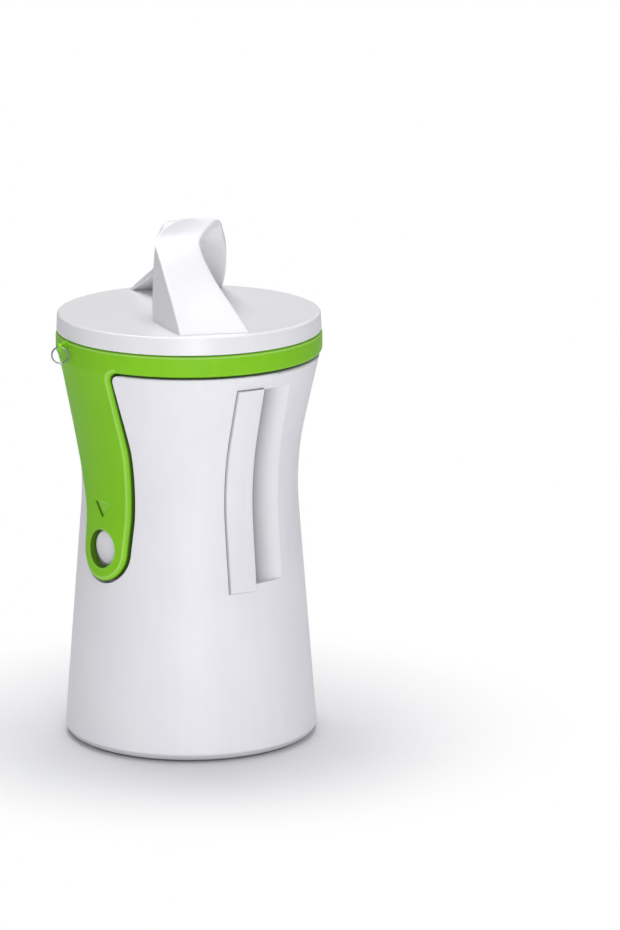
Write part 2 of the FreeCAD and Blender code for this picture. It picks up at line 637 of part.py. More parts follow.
def handle_section(edge, crease, web, lean):
    """One section of the folded band: its three outer corners and two moved in under it. The way in
    leans from level at the front foot (0 degrees), over straight down at the top (90), to 180."""
    slope = math.radians(lean)
    inward = Vector(0, -math.cos(slope), -math.sin(slope)) * V.handle_wall
    corners = [edge, crease, web, web + inward, edge + inward]
    return Part.makePolygon([handle_point(*corner) for corner in corners + corners[:1]])


def handle_rows():
    """Outer corners of the band from foot to top: free edge, crease and web edge, with the lean."""
    high = V.handle_height
    foot, side, reach = V.handle_foot, V.handle_side, V.handle_reach
    half, web = V.handle_half, V.handle_web
    return (
        ((side, reach, 0), (-0.24 * half, foot, 0), (-half, web, 0), 0),
        ((0.75 * side, 0.77 * reach, 0.205 * high), (-0.43 * half, 0.785 * foot, 0.243 * high),
         (-half, 0.92 * web, 0.23 * high), 30),
        ((0.42 * side, 0.47 * reach, 0.47 * high), (-0.64 * half, 0.56 * foot, 0.486 * high),
         (-0.98 * half, 0.77 * web, 0.486 * high), 45),
        ((0.205 * side, 0.22 * reach, 0.73 * high), (-0.87 * half, 0.31 * foot, 0.72 * high),
         (-0.93 * half, 0.52 * web, 0.73 * high), 62),
        ((0.26 * side, 0.07 * reach, 0.86 * high), (-0.85 * half, 0.14 * foot, 0.85 * high),
         (-0.87 * half, 0.27 * web, 0.845 * high), 78),
    )


def rear_webs():
    """Web corners of the rear half, which stands straight up from the rim, from top to foot."""
    high, half, foot = V.handle_height, V.handle_half, V.handle_foot
    return ((0.96 * half, -0.17 * foot, 0.845 * high), (1.03 * half, -0.31 * foot, 0.7 * high),
            (1.05 * half, -0.52 * foot, 0.475 * high), (1.02 * half, -0.77 * foot, 0.225 * high),
            (0.94 * half, -0.985 * foot, 0))


def opposite(corner):
    return (-corner[0], -corner[1], corner[2])


def smooth_track(points, steps):
    """Points along a smooth curve through the given ones, in steps from one to the next."""
    curve = Part.BSplineCurve()
    curve.interpolate(Points=[Vector(*point) for point in points], Parameters=list(range(len(points))))
    return [curve.value(index / steps) for index in range(steps * (len(points) - 1) + 1)]


def twist_handle():
    """The band, lofted through sections from the front foot over the top to the rear foot."""
    high, half = V.handle_height, V.handle_half
    rows = list(handle_rows())
    rows.append(((0.82 * half, -0.3 * half, 0.965 * high), (0, 0, high),
                 (-0.74 * half, 0.1 * half, 0.955 * high), 90))
    for row, web in zip(handle_rows()[::-1], rear_webs()):
        rows.append((web, opposite(row[1]), opposite(row[0]), 180 - row[3]))
    tracks = [smooth_track([row[index] for row in rows], 2) for index in range(3)]
    leans = [point.x for point in smooth_track([(row[3], 0, 0) for row in rows], 2)]
    sections = [handle_section(*corners) for corners in zip(*tracks, leans)]
    band = Part.makeLoft(sections, True, True)
    holes = [Part.makeCylinder(V.screw_radius, V.pad_height - 1.2, Vector(x, y, number(cap_top())))
             for x, y in handle_screw_spots()]
    return refined(band.fuse([handle_pad(1), handle_pad(-1)]).cut(Part.makeCompound(holes)))


def handle_pad(side):
    """The thick foot under one end of the band, which takes the screws."""
    faces = []
    half, foot = V.handle_half, V.handle_foot
    for low, high, near, far, height in (
            (-0.333 * half, 0.963 * half, 0.667 * foot, 0.882 * foot, 0),
            (-0.311 * half, 0.889 * half, 0.656 * foot, 0.774 * foot, V.pad_height)):
        corners = ((low, near), (high, near), (high, far), (low, far), (low, near))
        faces.append(Part.makePolygon([handle_point(side * x, side * y, height) for x, y in corners]))
    return Part.makeLoft(faces, True, True)


# ---------------------------------------------------------------- the pieces of the body
def build_body():
    shaped("body_shell", body_shell())
    pad_top = S.foot_proud + S.foot_depth
    turned("foot_pad", ((0.0, 0.0), (S.foot_radius, 0.0, 0.4), (S.foot_radius, pad_top), (0.0, pad_top)))
    shaped("exit_guard", exit_guard())


def build_cutter():
    shaped("cutting_cone", cutting_cone())
    shaped("slicing_blade", slicing_blade())
    shaped("blade_carrier", blade_carrier())
    shaped("noodle_comb", comb())
    carrier_face = V.blade_thick + V.carrier_thick
    carrier_middle = V.carrier_setback + V.carrier_width / 2
    shaped("blade_screws", screw_pair(carrier_face, carrier_middle, blade_side()))
    comb_middle = -V.slot_gap - V.comb_width / 2
    shaped("comb_screws", screw_pair(V.blade_thick + V.screw_head_height, comb_middle, cone_side()))


def build_frame():
    shaped("grip_frame", grip_frame())
    shaped("hang_ring", hang_ring())


# ---------------------------------------------------------------- latch buttons
def side_place(side):
    """A turned piece's place in the left (-X) or right (+X) latch: its Z runs outwards."""
    turn = -90 if side == "left" else 90
    return Placement(Vector(0, 0, V.arm_hole_height), Rotation(Vector(0, 1, 0), turn))


def build_latch(side):
    back = S.boss_face - S.collar_wall - 0.05
    button = turned("release_button_" + side, (
        (0.0, back), (S.button_collar, back), (S.button_collar, back + S.collar_wall),
        (S.button_radius, back + S.collar_wall), (S.button_radius, S.button_face, 0.8),
        (0.0, S.button_face + 0.3)))
    cup_mouth = S.boss_face + 1.0
    cup_floor = cup_mouth - S.cup_depth
    bore = S.cup_radius - S.cup_wall
    cup = turned("latch_cup_" + side, (
        (0.0, cup_floor), (S.cup_radius, cup_floor, 0.8), (S.cup_radius, cup_mouth), (bore, cup_mouth),
        (bore, cup_floor + S.cup_wall), (0.0, cup_floor + S.cup_wall)))
    button.Placement = side_place(side)
    cup.Placement = side_place(side)
    low = number(cup_floor + S.cup_wall) + V.spring_wire / 2 + 0.05
    high = number(back) - V.spring_wire / 2 - 0.05
    spring = shaped("latch_spring_" + side, coil(high - low))
    spring.Placement = side_place(side).multiply(Placement(Vector(0, 0, low), Rotation()))


def coil(height):
    """A round wire wound about Z up to a height."""
    path = Part.makeHelix(height / V.spring_turns, height, V.spring_radius)
    section = Part.Wire(Part.Circle(Vector(V.spring_radius, 0, 0), Vector(0, 1, 0), V.spring_wire / 2).toShape())
    return Part.Wire(path).makePipeShell([section], True, True)


# ---------------------------------------------------------------- cap, glide ring and food holder
def cap_low():
    return S.ring_high + S.cap_gap


def cap_top():
    return cap_low() + S.cap_height


def build_cap():
    """The cap turns on the glide ring, which the food holder's edge keeps under the cap."""
    low = cap_low()
    top = cap_top()
    cap = turned("pusher_cap", (
        (0.0, top), (S.cap_radius - S.cap_draft, top, S.cap_round), (S.cap_radius, low, 0.5),
        (S.hub_radius, low), (S.hub_radius, hub_low()), (S.cap_cavity, hub_low()),
        (S.cap_cavity, top - S.cap_plate), (0.0, top - S.cap_plate)))
    for index, (x, y) in enumerate(handle_screw_spots()):
        drilled(cap, "handle_screw_hole_%d" % index, x, y, S.screw_radius, hub_low(), top)
        drilled(cap, "handle_screw_head_%d" % index, x, y, S.screw_head, hub_low(), handle_screw_seat())
    drilled(cap, "holder_screw_hole", S.holder_screw_circle, 0.0, S.screw_radius, hub_low(),
            holder_screw_top(), int(V.holder_screws))
    glide_top = low - S.glide_gap
    bore = S.hub_radius + S.glide_gap
    holder_bore = S.holder_radius + S.glide_gap
    turned("glide_ring", (
        (bore, glide_top), (S.glide_radius, glide_top), (S.glide_radius, low - S.glide_height, 0.5),
        (holder_bore, low - S.glide_height), (holder_bore, glide_top - S.glide_lip),
        (bore, glide_top - S.glide_lip)))


def hub_low():
    """The underside of the cap's hub, where the food holder is screwed on."""
    return cap_low() - S.glide_lip - S.glide_gap * 2


def handle_screw_seat():
    return cap_top() - S.cap_plate


def holder_screw_top():
    return hub_low() + S.screw_length - S.holder_wall


def handle_screw_spots():
    """Screw axes from the cap's centre: two in each foot of the handle."""
    near = (0.593 * V.handle_half, 0.72 * V.handle_foot)
    far = (-0.148 * V.handle_half, 0.774 * V.handle_foot)
    spots = [near, far, (-near[0], -near[1]), (-far[0], -far[1])]
    return [(handle_point(x, y, 0).x, handle_point(x, y, 0).y) for x, y in spots]


def upright_screw(x, y, head_low, length):
    """A screw standing up from its head, whose underside lies at head_low."""
    head = Part.makeCylinder(V.screw_head - 0.1, V.screw_head_height, Vector(x, y, head_low))
    shank = Part.makeCylinder(V.screw_radius, length, Vector(x, y, head_low))
    slot = Part.makeCylinder(V.screw_radius * 0.6, V.screw_head_height * 0.6, Vector(x, y, head_low))
    return refined(head.fuse(shank).cut(slot))


def build_holder():
    """The food holder: a plate with a ring of spikes and a longer pin at its centre."""
    low = number(hub_low()) - V.holder_wall
    plate = turned("food_holder", (
        (0.0, hub_low() - S.holder_wall), (S.holder_radius, hub_low() - S.holder_wall, 0.4),
        (S.holder_radius, hub_low()), (0.0, hub_low())))
    plate_low = hub_low() - S.holder_wall
    drilled(plate, "pin_hole", 0.0, 0.0, S.pin_radius, plate_low, hub_low())
    drilled(plate, "spike_hole", S.spike_circle, 0.0, S.spike_radius, plate_low, hub_low(),
            int(V.spike_count))
    drilled(plate, "screw_hole", S.holder_screw_circle, 0.0, S.screw_radius, plate_low, hub_low(),
            int(V.holder_screws))
    spikes = []
    for index in range(int(V.spike_count)):
        angle = 2 * math.pi * index / int(V.spike_count)
        spikes.append(spike(V.spike_radius, V.spike_length).translated(
            Vector(V.spike_circle * math.cos(angle), V.spike_circle * math.sin(angle), 0)))
    shaped("holder_spikes", Part.makeCompound(spikes))
    shaped("centre_pin", spike(V.pin_radius, V.pin_length))
    screws = []
    for index in range(int(V.holder_screws)):
        angle = 2 * math.pi * index / int(V.holder_screws)
        screws.append(upright_screw(V.holder_screw_circle * math.cos(angle),
                                    V.holder_screw_circle * math.sin(angle),
                                    low - V.screw_head_height, V.screw_length + V.screw_head_height))
    shaped("holder_screws", Part.makeCompound(screws))


def spike(radius, length):
    """A pointed pin pressed through the food holder."""
    top = number(hub_low())
    tip = 0.15
    point = 3 * radius
    return turned_solid(((0, top, 0), (radius, top, 0), (radius, top - V.holder_wall - length + point, 0),
                         (tip, top - V.holder_wall - length, 0), (0, top - V.holder_wall - length, 0)))


def build_handle():
    shaped("twist_handle", twist_handle())
    seat = number(handle_screw_seat()) - V.screw_head_height
    screws = [upright_screw(x, y, seat, V.screw_length) for x, y in handle_screw_spots()]
    shaped("handle_screws", Part.makeCompound(screws))


build_body()
build_cutter()
build_frame()
build_latch("left")
build_latch("right")
build_cap()
build_holder()
build_handle()

doc.recompute()
for item in doc.Objects:
    if "Invalid" in item.State or "Error" in item.State:
        raise RuntimeError("failed feature: " + item.Name)
for node in NODES:
    if node.Shape.isNull() or not node.Shape.isValid():
        raise RuntimeError("bad shape: " + node.Label)
os.makedirs("parts", exist_ok=True)
for node in NODES:
    node.Shape.exportStep("parts/" + node.Label + ".step")
    print(node.Label, len(node.Shape.Solids), round(node.Shape.Volume, 1))
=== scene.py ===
import math

import bmesh
import bpy
import numpy as np
from bpy.props import FloatProperty, FloatVectorProperty, PointerProperty
from bpy.types import Operator, Panel, PropertyGroup
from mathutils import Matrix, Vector


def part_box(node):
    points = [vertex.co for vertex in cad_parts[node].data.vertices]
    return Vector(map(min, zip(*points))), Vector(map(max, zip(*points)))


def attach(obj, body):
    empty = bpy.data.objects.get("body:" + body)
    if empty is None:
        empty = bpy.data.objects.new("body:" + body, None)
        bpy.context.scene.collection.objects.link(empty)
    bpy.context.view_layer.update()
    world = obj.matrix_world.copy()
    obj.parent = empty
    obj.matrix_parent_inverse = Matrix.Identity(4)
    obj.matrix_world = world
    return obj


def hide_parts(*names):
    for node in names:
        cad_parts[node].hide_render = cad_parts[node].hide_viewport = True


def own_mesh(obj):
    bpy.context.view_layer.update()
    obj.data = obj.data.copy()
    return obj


bl_info = {
    "name": "Spiral Cutter",
    "version": (1, 0, 0),
    "blender": (4, 5, 0),
    "location": "View3D > Sidebar > Spiral Cutter",
    "description": "Finer pieces and finishes for a hand spiral vegetable cutter",
    "category": "Object",
}

MM = 0.001
UP = np.array([0, 0, 1.0])

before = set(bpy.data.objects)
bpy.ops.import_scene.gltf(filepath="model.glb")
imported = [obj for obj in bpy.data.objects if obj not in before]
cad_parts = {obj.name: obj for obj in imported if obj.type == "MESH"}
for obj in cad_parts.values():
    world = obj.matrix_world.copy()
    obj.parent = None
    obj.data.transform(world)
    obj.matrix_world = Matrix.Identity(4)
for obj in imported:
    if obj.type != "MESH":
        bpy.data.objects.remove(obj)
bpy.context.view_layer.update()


# ---- properties
def length(name, description, default):
    """A length property in metres from a default in millimetres."""
    return FloatProperty(name=name, description=description, default=default * MM, unit="LENGTH",
                         precision=5)


def bearing(name, description, degrees):
    """An angle property from a default in degrees."""
    return FloatProperty(name=name, description=description, default=math.radians(degrees), subtype="ANGLE")


def number(name, description, default, **limits):
    """A plain number property with its unit or lower limit."""
    return FloatProperty(name=name, description=description, default=default, **limits)


def colour(name, description, default):
    """A colour property from linear red, green and blue."""
    return FloatVectorProperty(name=name, description=description, default=default, subtype="COLOR",
                               size=3, min=0.0, max=1.0)


class HandleSizes(PropertyGroup):
    height: length("Height", "Top of the twisted band above the cap", 35.0)
    foot: length("Foot radius", "How far the band's crease stands from the cap's axis at its foot", 46.5)
    side: length("Side", "How far the band's free edge stands across at its foot", 22.4)
    reach: length("Reach", "How far the band's free edge stands forward at its foot", 41.5)
    web: length("Web foot", "How far the folded web stands forward at its foot", 20.0)
    half: length("Half width", "Half the width of the loop seen from the front", 13.5)
    wall: length("Wall", "Thickness of the band", 3.2)
    crease_round: length("Crease round", "Round along the fold between face and web", 0.7)
    edge_round: length("Edge round", "Round along the band's free edges", 1.0)
    turn: bearing("Turn", "Turn of the loop about the cap's axis", -40)


class GripSizes(PropertyGroup):
    arm_round: length("Arm round", "Round along the outer edges of the arms", 2.0)
    hole_round: length("Hole round", "Round of the button hole's outer edge", 0.35)
    mark_depth: length("Mark depth", "Depth of the sunk triangle above the button hole", 0.7)
    guard_round: length("Guard round", "Round along the guard strip's edges", 0.45)
    wire: length("Wire", "Radius of the split ring's wire", 0.28)


class FinishColours(PropertyGroup):
    body: colour("Body white", "Satin white of the body and its guard strip", (0.86, 0.855, 0.87))
    body_shade: colour("Body shade", "Cooler white that clouds the body's moulding", (0.80, 0.795, 0.83))
    cap: colour("Cap white", "Glossier white of the cap, handle and buttons", (0.88, 0.88, 0.885))
    cap_shade: colour("Cap shade", "Cooler white in the cap's moulding", (0.83, 0.83, 0.845))
    green: colour("Grip green", "Bright green of the ring and arms", (0.245, 0.62, 0.018))
    green_shade: colour("Grip shade", "Deeper green in the grip's moulding", (0.21, 0.55, 0.02))
    steel: colour("Steel", "Bare stainless steel", (0.62, 0.63, 0.64))
    rubber: colour("Rubber", "Dark grey of the foot pad", (0.15, 0.15, 0.155))


class StudioSettings(PropertyGroup):
    distance: number("Distance", "Camera distance from the object's middle", 1.93, unit="LENGTH")
    azimuth: bearing("Azimuth", "Camera turn about the object, 0 looks along +Y", -40)
    elevation: bearing("Elevation", "Camera angle above the horizon", 13.5)
    lens: number("Lens", "Focal length in millimetres", 198.15, min=1.0)
    aim_side: length("Aim side", "How far right of the axis the camera aims", 45.3)
    aim_height: length("Aim height", "Height that the camera aims at", 102.9)
    key: number("Key", "Power of the large front lamp in watts", 6.4, min=0.0)
    strip: number("Strip", "Power of the narrow left lamp in watts", 0.25, min=0.0)
    top: number("Top", "Power of the overhead lamp in watts", 10.6, min=0.0)
    world: number("World", "Strength of the surrounding light", 0.34, min=0.0)


def settings(name):
    """One property group of the scene, by its name."""
    return getattr(bpy.context.scene, name)


# ---- mesh helpers
def full_turn(count):
    """Evenly spaced angles all the way round."""
    return np.linspace(0, 2 * math.pi, count, endpoint=False)


def grid_faces(rows, columns, wrap_rows=False):
    """Quads between neighbouring points of a grid whose columns form rings, as its rows may too."""
    row = np.arange(rows if wrap_rows else rows - 1)
    i, j = np.meshgrid(row, np.arange(columns), indexing="ij")
    k, m = (i + 1) % rows, (j + 1) % columns
    return np.stack([i * columns + j, i * columns + m, k * columns + m, k * columns + j], -1).reshape(-1, 4)


def make_piece(name, points, faces, finish, sharp=50.0, tone=None):
    """A mesh object at the origin with its doubles merged and its faces turned outwards, shaded
    smooth but for edges sharper than an angle. A tone at each point paints light into the colour:
    1 for painted shade in a gap and -1 for a painted highlight along an edge."""
    mesh = bpy.data.meshes.new(name)
    mesh.from_pydata(points.reshape(-1, 3).tolist(), [], [list(face) for face in faces])
    # The tone is kept as an attribute that paints highlights and shade into the colour along edges.
    if tone is not None:
        values = np.ascontiguousarray(tone, np.float32).reshape(-1)
        mesh.attributes.new("painted_edge_light", "FLOAT", "POINT").data.foreach_set("value", values)
    work = bmesh.new()
    work.from_mesh(mesh)
    bmesh.ops.remove_doubles(work, verts=work.verts, dist=2e-7)
    loose = [vert for vert in work.verts if not vert.link_faces]
    bmesh.ops.delete(work, geom=loose, context="VERTS")
    bmesh.ops.recalc_face_normals(work, faces=work.faces)
    work.to_mesh(mesh)
    work.free()
    piece = bpy.data.objects.new(name, mesh)
    bpy.context.scene.collection.objects.link(piece)
    mesh.materials.append(finish)
    mesh.polygons.foreach_set("use_smooth", np.ones(len(mesh.polygons), bool))
    mesh.set_sharp_from_angle(angle=math.radians(sharp))
    mesh.update()
    return piece


def closed_grid(name, points, finish, wrap_rows=False, sharp=50.0, skip=None, tone=None):
    """A closed piece from a grid of points whose columns form rings. The rows wrap round too, or else
    the first and last ring are closed with flat ends. Faces may be skipped where two seams meet."""
    rows, columns = points.shape[:2]
    faces = grid_faces(rows, columns, wrap_rows)
    if skip is not None:
        faces = faces[~skip.reshape(-1)]
    faces = faces.tolist()
    if not wrap_rows:
        faces += [list(range(columns)), [(rows - 1) * columns + k for k in range(columns)]]
    return make_piece(name, points, faces, finish, sharp, tone)


def cut_back(corner, toward, radius):
    """The point a radius away from a corner on one of its sides, or just before the side's middle."""
    side, most = toward - corner, 0.48
    return corner + side * np.minimum(radius / np.linalg.norm(side, axis=-1, keepdims=True), most)


def rounded_corner(before, corner, after, radius, steps):
    """Points of a curve that leaves one side at a radius before the corner and joins the next at a
    radius after it: (1-t)^2 A + 2t(1-t) C + t^2 B."""
    t = np.linspace(0, 1, steps).reshape((-1,) + (1,) * corner.ndim)
    a, b = cut_back(corner, before, radius), cut_back(corner, after, radius)
    return (1 - t) ** 2 * a + 2 * t * (1 - t) * corner + t ** 2 * b


def rounded_section(corners, radius):
    """A closed line through corners, each of them rounded."""
    corners = np.array(corners)
    triples = zip(np.roll(corners, 1, 0), corners, np.roll(corners, -1, 0))
    return np.concatenate([rounded_corner(*triple, radius, 5) for triple in triples])


def points_at(places, along, points):
    """Points at places along a line, between those that are given with their own places."""
    return np.stack([np.interp(places, along, points[:, axis]) for axis in range(2)], -1)


def arc_line(corners, count=None, closed=True, steps=24):
    """A closed or open line through (across, up, radius) corners, each turned into an arc of its
    radius, and moved to a number of evenly spaced points if one is given."""
    spots = np.array([(x, y) for x, y, _ in corners])
    runs = []
    for index, (_, _, radius) in enumerate(corners):
        spot = spots[index]
        if radius <= 0:
            runs.append(spot[None])
            continue
        u = spots[index - 1] - spot
        v = spots[(index + 1) % len(spots)] - spot
        u, v = u / np.linalg.norm(u), v / np.linalg.norm(v)
        half = math.acos(np.clip(u @ v, -1, 1)) / 2
        middle = (u + v) / np.linalg.norm(u + v)
        centre = spot + middle * radius / math.sin(half)
        sweep = math.pi / 2 - half
        side = np.array([-middle[1], middle[0]])
        side = side if side @ u > 0 else -side
        angle = np.linspace(sweep, -sweep, steps)[:, None]
        runs.append(centre - radius * (np.cos(angle) * middle - np.sin(angle) * side))
    points = np.concatenate(runs)
    if count is None:
        return points
    if closed:
        points = np.vstack([points, points[:1]])
    along = np.concatenate([[0], np.cumsum(np.linalg.norm(np.diff(points, axis=0), axis=1))])
    return points_at(np.linspace(0, along[-1], count, endpoint=not closed), along, points)


def cubic_track(rows, steps):
    """A smooth curve through evenly numbered rows, a natural cubic: the second derivatives solve
    M(i-1) + 4 M(i) + M(i+1) = 6 (P(i-1) - 2 P(i) + P(i+1)) with M zero at both ends."""
    rows = np.asarray(rows, float)
    count = len(rows)
    matrix = 4 * np.eye(count) + np.eye(count, k=1) + np.eye(count, k=-1)
    matrix[0, :2] = matrix[-1, -2:] = 0
    matrix[0, 0] = matrix[-1, -1] = 1
    right = np.zeros_like(rows)
    right[1:-1] = 6 * (rows[:-2] - 2 * rows[1:-1] + rows[2:])
    bend = np.linalg.solve(matrix, right)
    at = np.linspace(0, count - 1, steps * (count - 1) + 1)
    i = np.minimum(at.astype(int), count - 2)
    t = (at - i)[:, None]
    s = 1 - t
    return s * rows[i] + t * rows[i + 1] + ((s ** 3 - s) * bend[i] + (t ** 3 - t) * bend[i + 1]) / 6


def turned_profile(name, corners, finish, segments, steps, tone):
    """A ring turned about Z from (radius, height, round) corners, with a tone of painted light and shade from
    radius and height.
    """
    profile = arc_line(corners, steps=steps)
    angle = full_turn(segments)[:, None]
    points = np.stack([profile[:, 0] * np.cos(angle), profile[:, 0] * np.sin(angle),
                       np.broadcast_to(profile[:, 1], (segments, len(profile)))], -1)
    shade = np.broadcast_to(tone(profile[:, 0], profile[:, 1]), points.shape[:2])
    return closed_grid(name, points * MM, finish, wrap_rows=True, sharp=40.0, tone=shade)


def tube(name, path, radius, finish, columns):
    """A round wire along a path: each ring lies across the path's direction."""
    ahead = np.gradient(path, axis=0)
    ahead /= np.linalg.norm(ahead, axis=1, keepdims=True)
    steady = np.cross(path[len(path) // 4] - path[0], path[len(path) // 2] - path[0])
    steady /= np.linalg.norm(steady)
    side = np.cross(ahead, steady)
    side /= np.linalg.norm(side, axis=1, keepdims=True)
    rise = np.cross(side, ahead)
    angle = full_turn(columns)[None, :, None]
    points = path[:, None] + radius * (np.cos(angle) * side[:, None] + np.sin(angle) * rise[:, None])
    return closed_grid(name, points, finish)


# ---- node groups and finishes
SOCKET_KINDS = {1: "NodeSocketFloat", 3: "NodeSocketVector", 4: "NodeSocketColor"}
# Where the painted shade in the exit scoop lies, in millimetres: right of the guard strip, in front of
# the axis and between the scoop's two ends.
SCOOP_LIMITS = (("X", "GREATER_THAN", -4.45), ("Y", "LESS_THAN", 0.0), ("Z", "GREATER_THAN", 66.05),
                ("Z", "LESS_THAN", 140.9))


def new_group(name, inputs):
    """A shader node group that puts out a colour, a roughness and a height. Its inputs are named with
    their defaults, whose count of numbers gives their kind. With it come the sockets to link from,
    and the three to link to, in that order."""
    group = bpy.data.node_groups.new(name, "ShaderNodeTree")
    for label, value in inputs.items():
        socket = group.interface.new_socket(label, in_out="INPUT", socket_type=SOCKET_KINDS[np.size(value)])
        socket.default_value = value
    for label, size in (("Colour", 4), ("Roughness", 1), ("Height", 1)):
        group.interface.new_socket(label, in_out="OUTPUT", socket_type=SOCKET_KINDS[size])
    return group, group.nodes.new("NodeGroupInput").outputs, group.nodes.new("NodeGroupOutput").inputs


def put_node(tree, kind, inputs, output, **options):
    """One output of a new node. Its inputs, by name or number, are linked or set to plain values."""
    node = tree.nodes.new(kind)
    for key, value in options.items():
        setattr(node, key, value)
    for key, value in inputs.items():
        if isinstance(value, bpy.types.NodeSocket):
            tree.links.new(value, node.inputs[key])
        else:
            node.inputs[key].default_value = value
    return node.outputs[output]


def math_node(tree, operation, first, second):
    """Two numbers put through one operation."""
    return put_node(tree, "ShaderNodeMath", {0: first, 1: second}, "Value", operation=operation)


def map_range(tree, value, low, high, to_low=0.0, to_high=1.0, shape="LINEAR"):
    """A value moved from one range into another, and kept within it."""
    ends = {"Value": value, "From Min": low, "From Max": high, "To Min": to_low, "To Max": to_high}
    return put_node(tree, "ShaderNodeMapRange", ends, "Result", interpolation_type=shape)


def noise(tree, vector, scale, detail, **more):
    """Noise between 0 and 1 at a vector."""
    inputs = {"Vector": vector, "Scale": scale, "Detail": detail, **more}
    return put_node(tree, "ShaderNodeTexNoise", inputs, "Fac")


def mix_colours(tree, share, first, second):
    """Two colours mixed by the second one's share."""
    return put_node(tree, "ShaderNodeMix", {0: share, 6: first, 7: second}, 2, data_type="RGBA")


def mix_surfaces(tree, share, first, second, end):
    """Two shaders mixed by the second one's share, and linked to the tree's end node."""
    mix = put_node(tree, "ShaderNodeMixShader", {"Fac": share, 1: first, 2: second}, "Shader")
    tree.links.new(mix, tree.nodes[end].inputs["Surface"])


def times(tree, colour, factor):
    """A colour times a number."""
    return put_node(tree, "ShaderNodeVectorMath", {0: colour, "Scale": factor}, "Vector", operation="SCALE")


def slot_shade(group, place, tone):
    """Painted shade in the exit scoop: within its limits, the tone beside the guard strip, fading to 1."""
    shade = map_range(group, place["X"], -5.0 * MM, 8.0 * MM, tone, shape="SMOOTHSTEP")
    for axis, compare, limit in SCOOP_LIMITS:
        within = math_node(group, compare, place[axis], limit * MM)
        shade = put_node(group, "ShaderNodeMix", {0: within, 2: 1.0, 3: shade}, 0)
    return shade


def moulded_skin():
    """Moulded plastic: a slow cloud of tone, flow lines that run up the wall, fine grain, and a band of
    painted shade below the foot height. Its edge light paints shade into gaps and highlights along
    edges, and its slot shade paints shade into the exit scoop. It puts out the colour, the roughness and the
    height of the grain."""
    group, into, out = new_group("Moulded skin", {
        "Colour": (1, 1, 1, 1), "Shade": (0.8, 0.8, 0.8, 1), "Cloud size": 40.0, "Grain size": 2500.0,
        "Flow": 0.3, "Rough low": 0.3, "Rough high": 0.4, "Foot height": -1.0, "Foot tone": 0.7,
        "Edge light and shade": 0.0, "Slot tone": 1.0, "Worn edge": (1, 1, 1, 1)})
    spot = put_node(group, "ShaderNodeTexCoord", {}, "Object")
    apart = group.nodes.new("ShaderNodeSeparateXYZ")
    group.links.new(spot, apart.inputs["Vector"])
    cloud = noise(group, spot, into["Cloud size"], 4.0, Roughness=0.55)
    stretch = put_node(group, "ShaderNodeMapping", {"Vector": spot, "Scale": (1.0, 1.0, 0.06)}, "Vector")
    flow = noise(group, stretch, 420.0, 3.0)
    grain = noise(group, spot, into["Grain size"], 2.0)
    both = math_node(group, "ADD", cloud, math_node(group, "MULTIPLY", flow, into["Flow"]))
    colour = mix_colours(group, map_range(group, both, 0.35, 0.95), into["Colour"], into["Shade"])
    # Painted highlight: a negative edge tone mixes the colour towards the highlight colour.
    highlight_share = map_range(group, into["Edge light and shade"], 0.0, -1.0, 0.0, 0.6)
    colour = mix_colours(group, highlight_share, colour, into["Worn edge"])
    # Painted shade on the body's rounded bottom edge: the colour below the foot height is darkened.
    above = math_node(group, "SUBTRACT", apart.outputs["Z"], into["Foot height"])
    foot_shade = map_range(group, above, -0.4 * MM, 0.3 * MM, into["Foot tone"], shape="SMOOTHSTEP")
    # Painted shade: a positive edge tone darkens the colour in gaps, down to 0.16.
    gap_shade = map_range(group, into["Edge light and shade"], 0.0, 1.0, 1.0, 0.16)
    for factor in (foot_shade, gap_shade, slot_shade(group, apart.outputs, into["Slot tone"])):
        colour = times(group, colour, factor)
    rough = map_range(group, both, 0.0, 1.0, into["Rough low"], into["Rough high"])
    for source, socket in zip((colour, rough, grain), out):
        group.links.new(source, socket)
    return group


def brushed_metal():
    """Drawn or ground metal: fine lines along one axis that change tone, roughness and height."""
    group, into, out = new_group("Brushed metal", {
        "Colour": (0.6, 0.6, 0.6, 1), "Stretch": (1, 1, 0.05), "Line size": 3000.0, "Rough low": 0.2,
        "Rough high": 0.35})
    spot = put_node(group, "ShaderNodeTexCoord", {}, "Object")
    stretch = put_node(group, "ShaderNodeMapping", {"Vector": spot, "Scale": into["Stretch"]}, "Vector")
    lines = noise(group, stretch, into["Line size"], 3.0)
    colour = times(group, into["Colour"], map_range(group, lines, 0.0, 1.0, 0.8, 1.15))
    rough = map_range(group, lines, 0.0, 1.0, into["Rough low"], into["Rough high"])
    for source, socket in zip((colour, rough, lines), out):
        group.links.new(source, socket)
    return group


def finish_from(name, group, inputs, bump, **shader_values):
    """A material whose Principled shader takes colour, roughness and bump from a node group. The bump
    is given by its strength and its height in millimetres."""
    material = bpy.data.materials.new(name)
    material.use_nodes = True
    tree = material.node_tree
    shader = tree.nodes["Principled BSDF"]
    effect = tree.nodes.new("ShaderNodeGroup")
    effect.node_tree = group
    for label, value in inputs.items():
        is_colour = label in ("Colour", "Shade", "Worn edge")
        effect.inputs[label].default_value = (*value, 1.0) if is_colour else value
    # Finishes with a highlight colour read their painted edge highlights and shade from the mesh attribute.
    if "Worn edge" in inputs:
        tone = put_node(tree, "ShaderNodeAttribute", {}, "Fac", attribute_name="painted_edge_light")
        tree.links.new(tone, effect.inputs["Edge light and shade"])
    relief = put_node(tree, "ShaderNodeBump", {
        "Height": effect.outputs["Height"], "Strength": bump[0], "Distance": bump[1] * MM}, "Normal")
    for label, source in (("Base Color", effect.outputs["Colour"]), ("Normal", relief),
                          ("Roughness", effect.outputs["Roughness"])):
        tree.links.new(source, shader.inputs[label])
    for label, value in shader_values.items():
        shader.inputs[label.replace("_", " ")].default_value = value
    return material


def dimmed(tone, factor):
    """A colour with each part times a number."""
    return tuple(factor * part for part in tone)


FINISHES = {}


